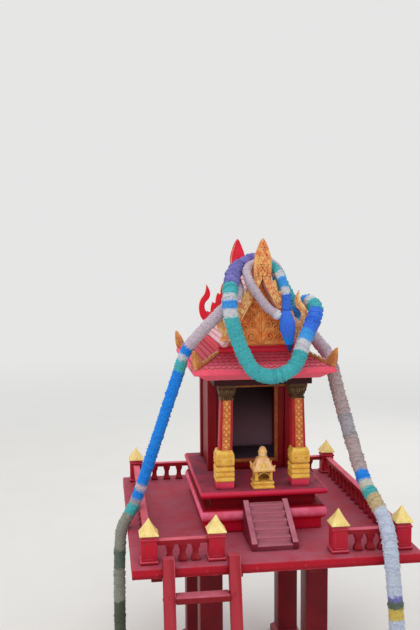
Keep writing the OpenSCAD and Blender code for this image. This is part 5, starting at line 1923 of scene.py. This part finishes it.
@dataclass
class Gables(SubAssembly):
    """Both gables: carved boards with leaves, pediments, spires and flames."""

    roof_y: float = 126.73
    board_top: float = 1505.0
    board_deep: float = 62.0
    board_low: float = 1237.0
    board_face: float = 242.0
    panel_face: float = 202.0
    panel_top: float = 1438.0
    panel_foot: float = 1215.0
    bosses: int = 13
    boss_from: float = 12.0
    boss_end: float = 24.0
    leaves: int = 5
    leaf_l: float = 34.0
    leaf_from: float = 71.75
    leaf_end: float = 24.0
    roof_line: RoofLine = RoofLine()
    panel_buds: tuple[Point, ...] = ((9, 30, 50), (42, 25, 46), (76, 20, 44), (110, 15, 44), (144, 10, 40))
    panel_scrolls: tuple[tuple[float, float, float, float, int], ...] = (
        (31, 32, 17.5, -70, 1), (64, 29, 14.5, 200, -1), (89, 22, 9.5, -40, 1), (27, 69, 14.0, 210, -1),
        (52, 61, 11.5, -60, 1), (22, 101, 11.5, -60, 1), (42, 91, 8.0, 190, -1), (73, 50, 7.5, 190, -1),
        (17, 130, 8.5, 200, -1), (33, 113, 6.0, -60, 1), (13, 155, 6.0, -60, 1), (47, 40, 6.0, 80, 1),
        (9, 176, 4.2, 200, -1),
    )
    spire_widths: tuple[Flat, ...] = (
        (1441.0, 28.0), (1501.0, 26.0), (1523.0, 21.5), (1539.0, 15.5), (1559.0, 8.5), (1573.0, 1.0),
    )
    spire_foot: float = 1449.0
    spire_rows: int = 12
    spire_pitch: float = 9.6
    spire_leaf: float = 12.5
    over_board: float = 242.2
    over_spire: float = 246.6
    spire_lean: float = 0.055
    spire_lean_height: float = 50.0
    back_from: float = 1500.0
    back_face: float = 226.5
    back_lean: float = 0.2
    tip_face: float = 244.0
    tip_z: float = 1554.0

    def _face(self, end: int, distance: float, way: int = 1) -> Face:
        """Returns an upright face at a distance from the roof's middle, facing out or, for way -1, in."""
        return Face.upright(0, self.roof_y + end * distance, 0, (-end * way, 0, 0))

    def _panel(self, carving: Carving, face: Face) -> None:
        """Carves one pediment: buds on the middle line, and scrolls that get smaller outwards and upwards.

        Args:
            carving: What it is gathered in.
            face: The panel's face.
        """
        foot = self.panel_foot
        for side in SIDES:
            rim = self.roof_line.line(self.panel_top - 15, foot + 6, self.panel_top - 24, 20, side)
            carving.stroke(face, rim, 6.0, 7.5, (0.8, 0.5))
        carving.stroke(face, [(-102, foot + 5), (102, foot + 5)], 7.0, 7.5, (0.6, 0.6))
        for y, width, height in self.panel_buds:
            for turn, share, rise in ((-38, 0.86, 10.0), (38, 0.86, 10.0), (0, 1.0, 12.0)):
                carving.petal(face, 0.0, foot + y, width * 0.62, height * share, rise, turn)
        for side in SIDES:
            for off, up, radius, start, hand in self.panel_scrolls:
                x, y = side * off, foot + up
                line = curl(x, y, radius, start if side > 0 else 180 - start, side * hand * 1.5)
                carving.stroke(face, line, radius * 0.52 + 1.4, 5.0 + radius * 0.40, (0.8, 0.6))
                carving.bead(face, x, y, radius * 0.32, 6.0 + radius * 0.40)
                for turn in (-20 * side, -54 * side, -88 * side):
                    c, s = math.cos(math.radians(turn)), math.sin(math.radians(turn))
                    leaf_x, leaf_y = x - radius * s * 0.9, y + radius * c * 0.9
                    carving.petal(face, leaf_x, leaf_y, radius * 0.62, radius * 0.8, 6.0, turn)

    def _bosses(self, carving: Carving, face: Face, side: int) -> None:
        """Carves three-leaved bosses along a board's middle, with two beads between them.

        Args:
            carving: What they are gathered in.
            face: The board's face.
            side: -1 for the left board, 1 for the right one.
        """
        deep, reach = self.board_deep, self.roof_line.reach
        top = self.board_top - 0.5 * deep
        span = top - self.boss_end - self.board_low
        for k in range(self.bosses):
            z = self.board_low + self.boss_from + k * span / self.bosses
            x = reach(top, z)
            slope = math.degrees(math.atan2(reach(top, z - 1) - x, 1.0))
            for turn in (0, 120, 240):
                carving.petal(face, side * x, z, 7.0, 9.6, 3.2, side * slope + turn)
            carving.bead(face, side * x, z, 3.0, 4.6)
            z += 0.5 * span / self.bosses
            for share in (0.36, 0.64):
                carving.bead(face, side * reach(self.board_top - share * deep, z), z, 2.2, 2.4, 6)

    def _board(self, carving: Carving, face: Face, side: int) -> None:
        """Carves one gable board: a border on both edges, bosses between them, and veins in its leaves.

        Args:
            carving: What it is gathered in.
            face: The board's face.
            side: -1 for the left board, 1 for the right one.
        """
        for share in (0.11, 0.89):
            top = self.board_top - share * self.board_deep
            line = self.roof_line.line(top, self.board_low + 2, top - 12, 26, side)
            carving.stroke(face, line, 4.2, 3.0, (0.9, 0.7))
        self._bosses(carving, face, side)
        pitch = (self.board_top - self.board_low - self.leaf_from - self.leaf_end) / self.leaves
        veins = ((bow((4, 0), (18, 3), (31, 10.5), 8), 5.0), (bow((2, -5), (12, -2), (20, 3), 6), 3.4))
        for i in range(self.leaves):
            drop = self.leaf_from + (i + 0.5) * pitch
            below, at, above = (
                self.roof_line.reach(self.board_top, self.board_top - drop + off) for off in (-1, 0, 1))
            tilt = math.atan2(below - above, 2.0)
            c, s = math.cos(tilt), math.sin(tilt)
            for line, width in veins:
                turned = [(v - 2, u - self.leaf_l / 2) for u, v in line]
                turned = [(a * c - b * s, a * s + b * c) for a, b in turned]
                points = on_side(turned, side, at, self.board_top - drop)
                carving.stroke(face, points, width, 3.4, (0.7, 0.2))

    def _flame(self, carving: Carving, face: Face, side: int) -> None:
        """Carves one flame: a rib that bends with it, a curl in its belly and small leaves at its foot.

        Args:
            carving: What it is gathered in.
            face: The board's face.
            side: -1 for the left flame, 1 for the right one.
        """
        rib = [
            *bow((-26, 26), (-4, 34), (-3, 66), 8), *bow((-3, 66), (0, 94), (-16, 108), 8)[1:],
            *bow((-16, 108), (-30, 120), (-23, 154), 8)[1:],
        ]
        x = self.roof_line.reach(self.board_top, self.board_low)
        for line, width in (
            (rib, 7.0), (curl(-3, 78, 8.0, 250, 1.3), 3.4), (bow((-40, 42), (-22, 42), (-10, 56), 8), 4.0),
            (bow((-26, 112), (-34, 124), (-29, 142), 8), 3.4),
        ):
            carving.stroke(face, on_side(line, side, x, self.board_low), width, 3.6, (0.5, 0.2))

    def _spire(self, carving: Carving, end: int) -> None:
        """Carves one spire: rows of overlapping leaves from the boards' joint to its tip, on both faces.

        Args:
            carving: What it is gathered in.
            end: -1 for the front gable, 1 for the rear one.
        """
        for row in range(self.spire_rows):
            z = self.spire_foot + self.spire_pitch * row
            middle = z + 8.0
            pairs = zip(self.spire_widths, self.spire_widths[1:])
            (z0, w0), (z1, w1) = next(pair for pair in pairs if pair[1][0] >= middle)
            half = w0 + (w1 - w0) * (middle - z0) / (z1 - z0)
            count = max(1, round(2 * half / self.spire_leaf))
            count += (count + row) % 2 if count > 1 else 0
            pitch = 2 * half / count
            lean = min(z - self.spire_foot, self.spire_lean_height) * self.spire_lean
            for x in centred(count, pitch):
                on_board = abs(x) < self.roof_line.reach(self.board_top, middle)
                face = self._face(end, self.over_board if on_board else self.over_spire + lean)
                rise = 8.0 if on_board else 4.0
                carving.petal(face, x, z, pitch * 1.3, 17.0, rise, -18.0 * x / half, 2.6)
                if z > self.back_from:
                    back = self._face(end, self.back_face + self.back_lean * (z - self.back_from), -1)
                    carving.petal(back, x, z, pitch * 1.2, 16.0, 3.0, 0.0, 1.5)
        carving.petal(self._face(end, self.tip_face), 0.0, self.tip_z, 8.0, 19.0, 4.0)

    def build(self) -> None:
        """Dresses and carves both gables."""
        self.dress("front_pediment rear_pediment", Finish.CARVING, 0.8)
        self.dress("front_gable_boards rear_gable_boards gable_flames", Finish.BOARD, 1.0)
        self.dress("gable_spires", Finish.SPIRE, 1.0)
        for end, name in zip(SIDES, ("front", "rear")):
            panel, board, spire = Carving(), Carving(), Carving()
            self._panel(panel, self._face(end, self.panel_face))
            self.keep(panel, name + "_pediment_carving", Finish.CARVING, Slot.ORANGE_GOLD)
            for side in SIDES:
                self._board(board, self._face(end, self.board_face), side)
                self._flame(board, self._face(end, self.board_face), side)
            self._spire(spire, end)
            self.keep(board, name + "_gable_carving", Finish.BOARD, Slot.ORANGE_GOLD)
            self.keep(spire, name + "_spire_leaves", Finish.SPIRE, Slot.ORANGE_GOLD)


@dataclass
class OfferingShrine(SubAssembly):
    """The small gold shrine on the slab's edge, with petals, an arch and rings."""

    y: float = -111.27
    floor_z: float = 743.0
    half_w: float = 35.0
    half_d: float = 29.0
    base_h: float = 23.0
    body_h: float = 34.0
    roof_h: float = 42.0
    bead_z: float = 16.0
    body_half_w: float = 29.5
    body_half_d: float = 23.0
    eave_half_w: float = 36.0
    eave_half_d: float = 31.0
    bell_half_w: float = 33.5
    bell_half_d: float = 29.0
    bell_slope: Point = (-16.0, -14.0, 26.0)
    bell_leaves: tuple[Point, ...] = ((-12, 15, 8), (0, 22, 10), (12, 15, 8))
    rings: tuple[Flat, ...] = ((5, 14.0), (20, 14.2), (31, 9.6))

    def _arch(self) -> list[Flat]:
        """Returns the outline of the opening's pointed arch."""
        left = [(-20.5, 1.0), (-20.5, 17.0), *bow((-20.5, 17.0), (-18, 26), (0, 31), 6)[1:]]
        return left + [(-x, y) for x, y in reversed(left[:-1])]

    def build(self) -> None:
        """Dresses the shrine and carves it."""
        self.dress("shrine_base", Finish.GOLD, 0.5)
        self.dress("shrine_body", Finish.NICHE_GOLD, 0.5)
        self.dress("shrine_roof", Finish.ROSE_GOLD, 0.5)
        carving, rings = Carving(), Carving()
        for face in four_faces(0, self.y, self.floor_z, self.half_w, self.half_d):
            for x in centred(8, 7.4):
                carving.petal(face, x, 0.6, 6.6, 7.0, 1.5)
        for face in four_faces(0, self.y, self.floor_z + self.bead_z, self.half_w - 1, self.half_d - 1):
            for x in centred(8, 7.6):
                carving.bead(face, x, 3.4, 2.2, 1.4, 6)
        foot = self.floor_z + self.base_h
        for face in four_faces(0, self.y, foot, self.body_half_w, self.body_half_d)[::2]:
            carving.stroke(face, self._arch(), 3.0, 1.8, (0.8, 0.8))
        eaves = foot + self.body_h
        for face in four_faces(0, self.y, eaves + 3, self.eave_half_w, self.eave_half_d):
            for x in centred(9, 7.4):
                carving.petal(face, x, 0.2, 6.0, 6.4, 1.3)
        for face in four_faces(0, self.y, eaves + 12, self.bell_half_w, self.bell_half_d, self.bell_slope):
            for x, height, width in self.bell_leaves:
                carving.petal(face, x, 1.0, width, height, 2.2)
        self.keep(carving, "offering_shrine_carving", Finish.GOLD, Slot.GOLD)
        for up, radius in self.rings:
            rings.ring(self.y, eaves + self.roof_h + up, radius)
        self.keep(rings, "offering_shrine_rings", Finish.GOLD, Slot.GOLD)


def main() -> None:
    """Builds the camera, the garlands, the studio and the house's sub-assemblies in order."""
    logging.basicConfig(level=logging.INFO, format="%(name)s: %(message)s")
    Viewpoint().build()
    EffectShelf()
    Garlands().build()
    Studio().build()
    paints = {finish: finish.value.material() for finish in Finish}
    for part in (
        Platform, Ladder, Fence, PlinthStair, Chamber, Porch, SkirtRoof, MainRoof, Gables, OfferingShrine,
    ):
        part(frame["nodes"], paints).build()
        LOG.info("built %s", part.__name__)


if __name__ == "__main__":
    main()
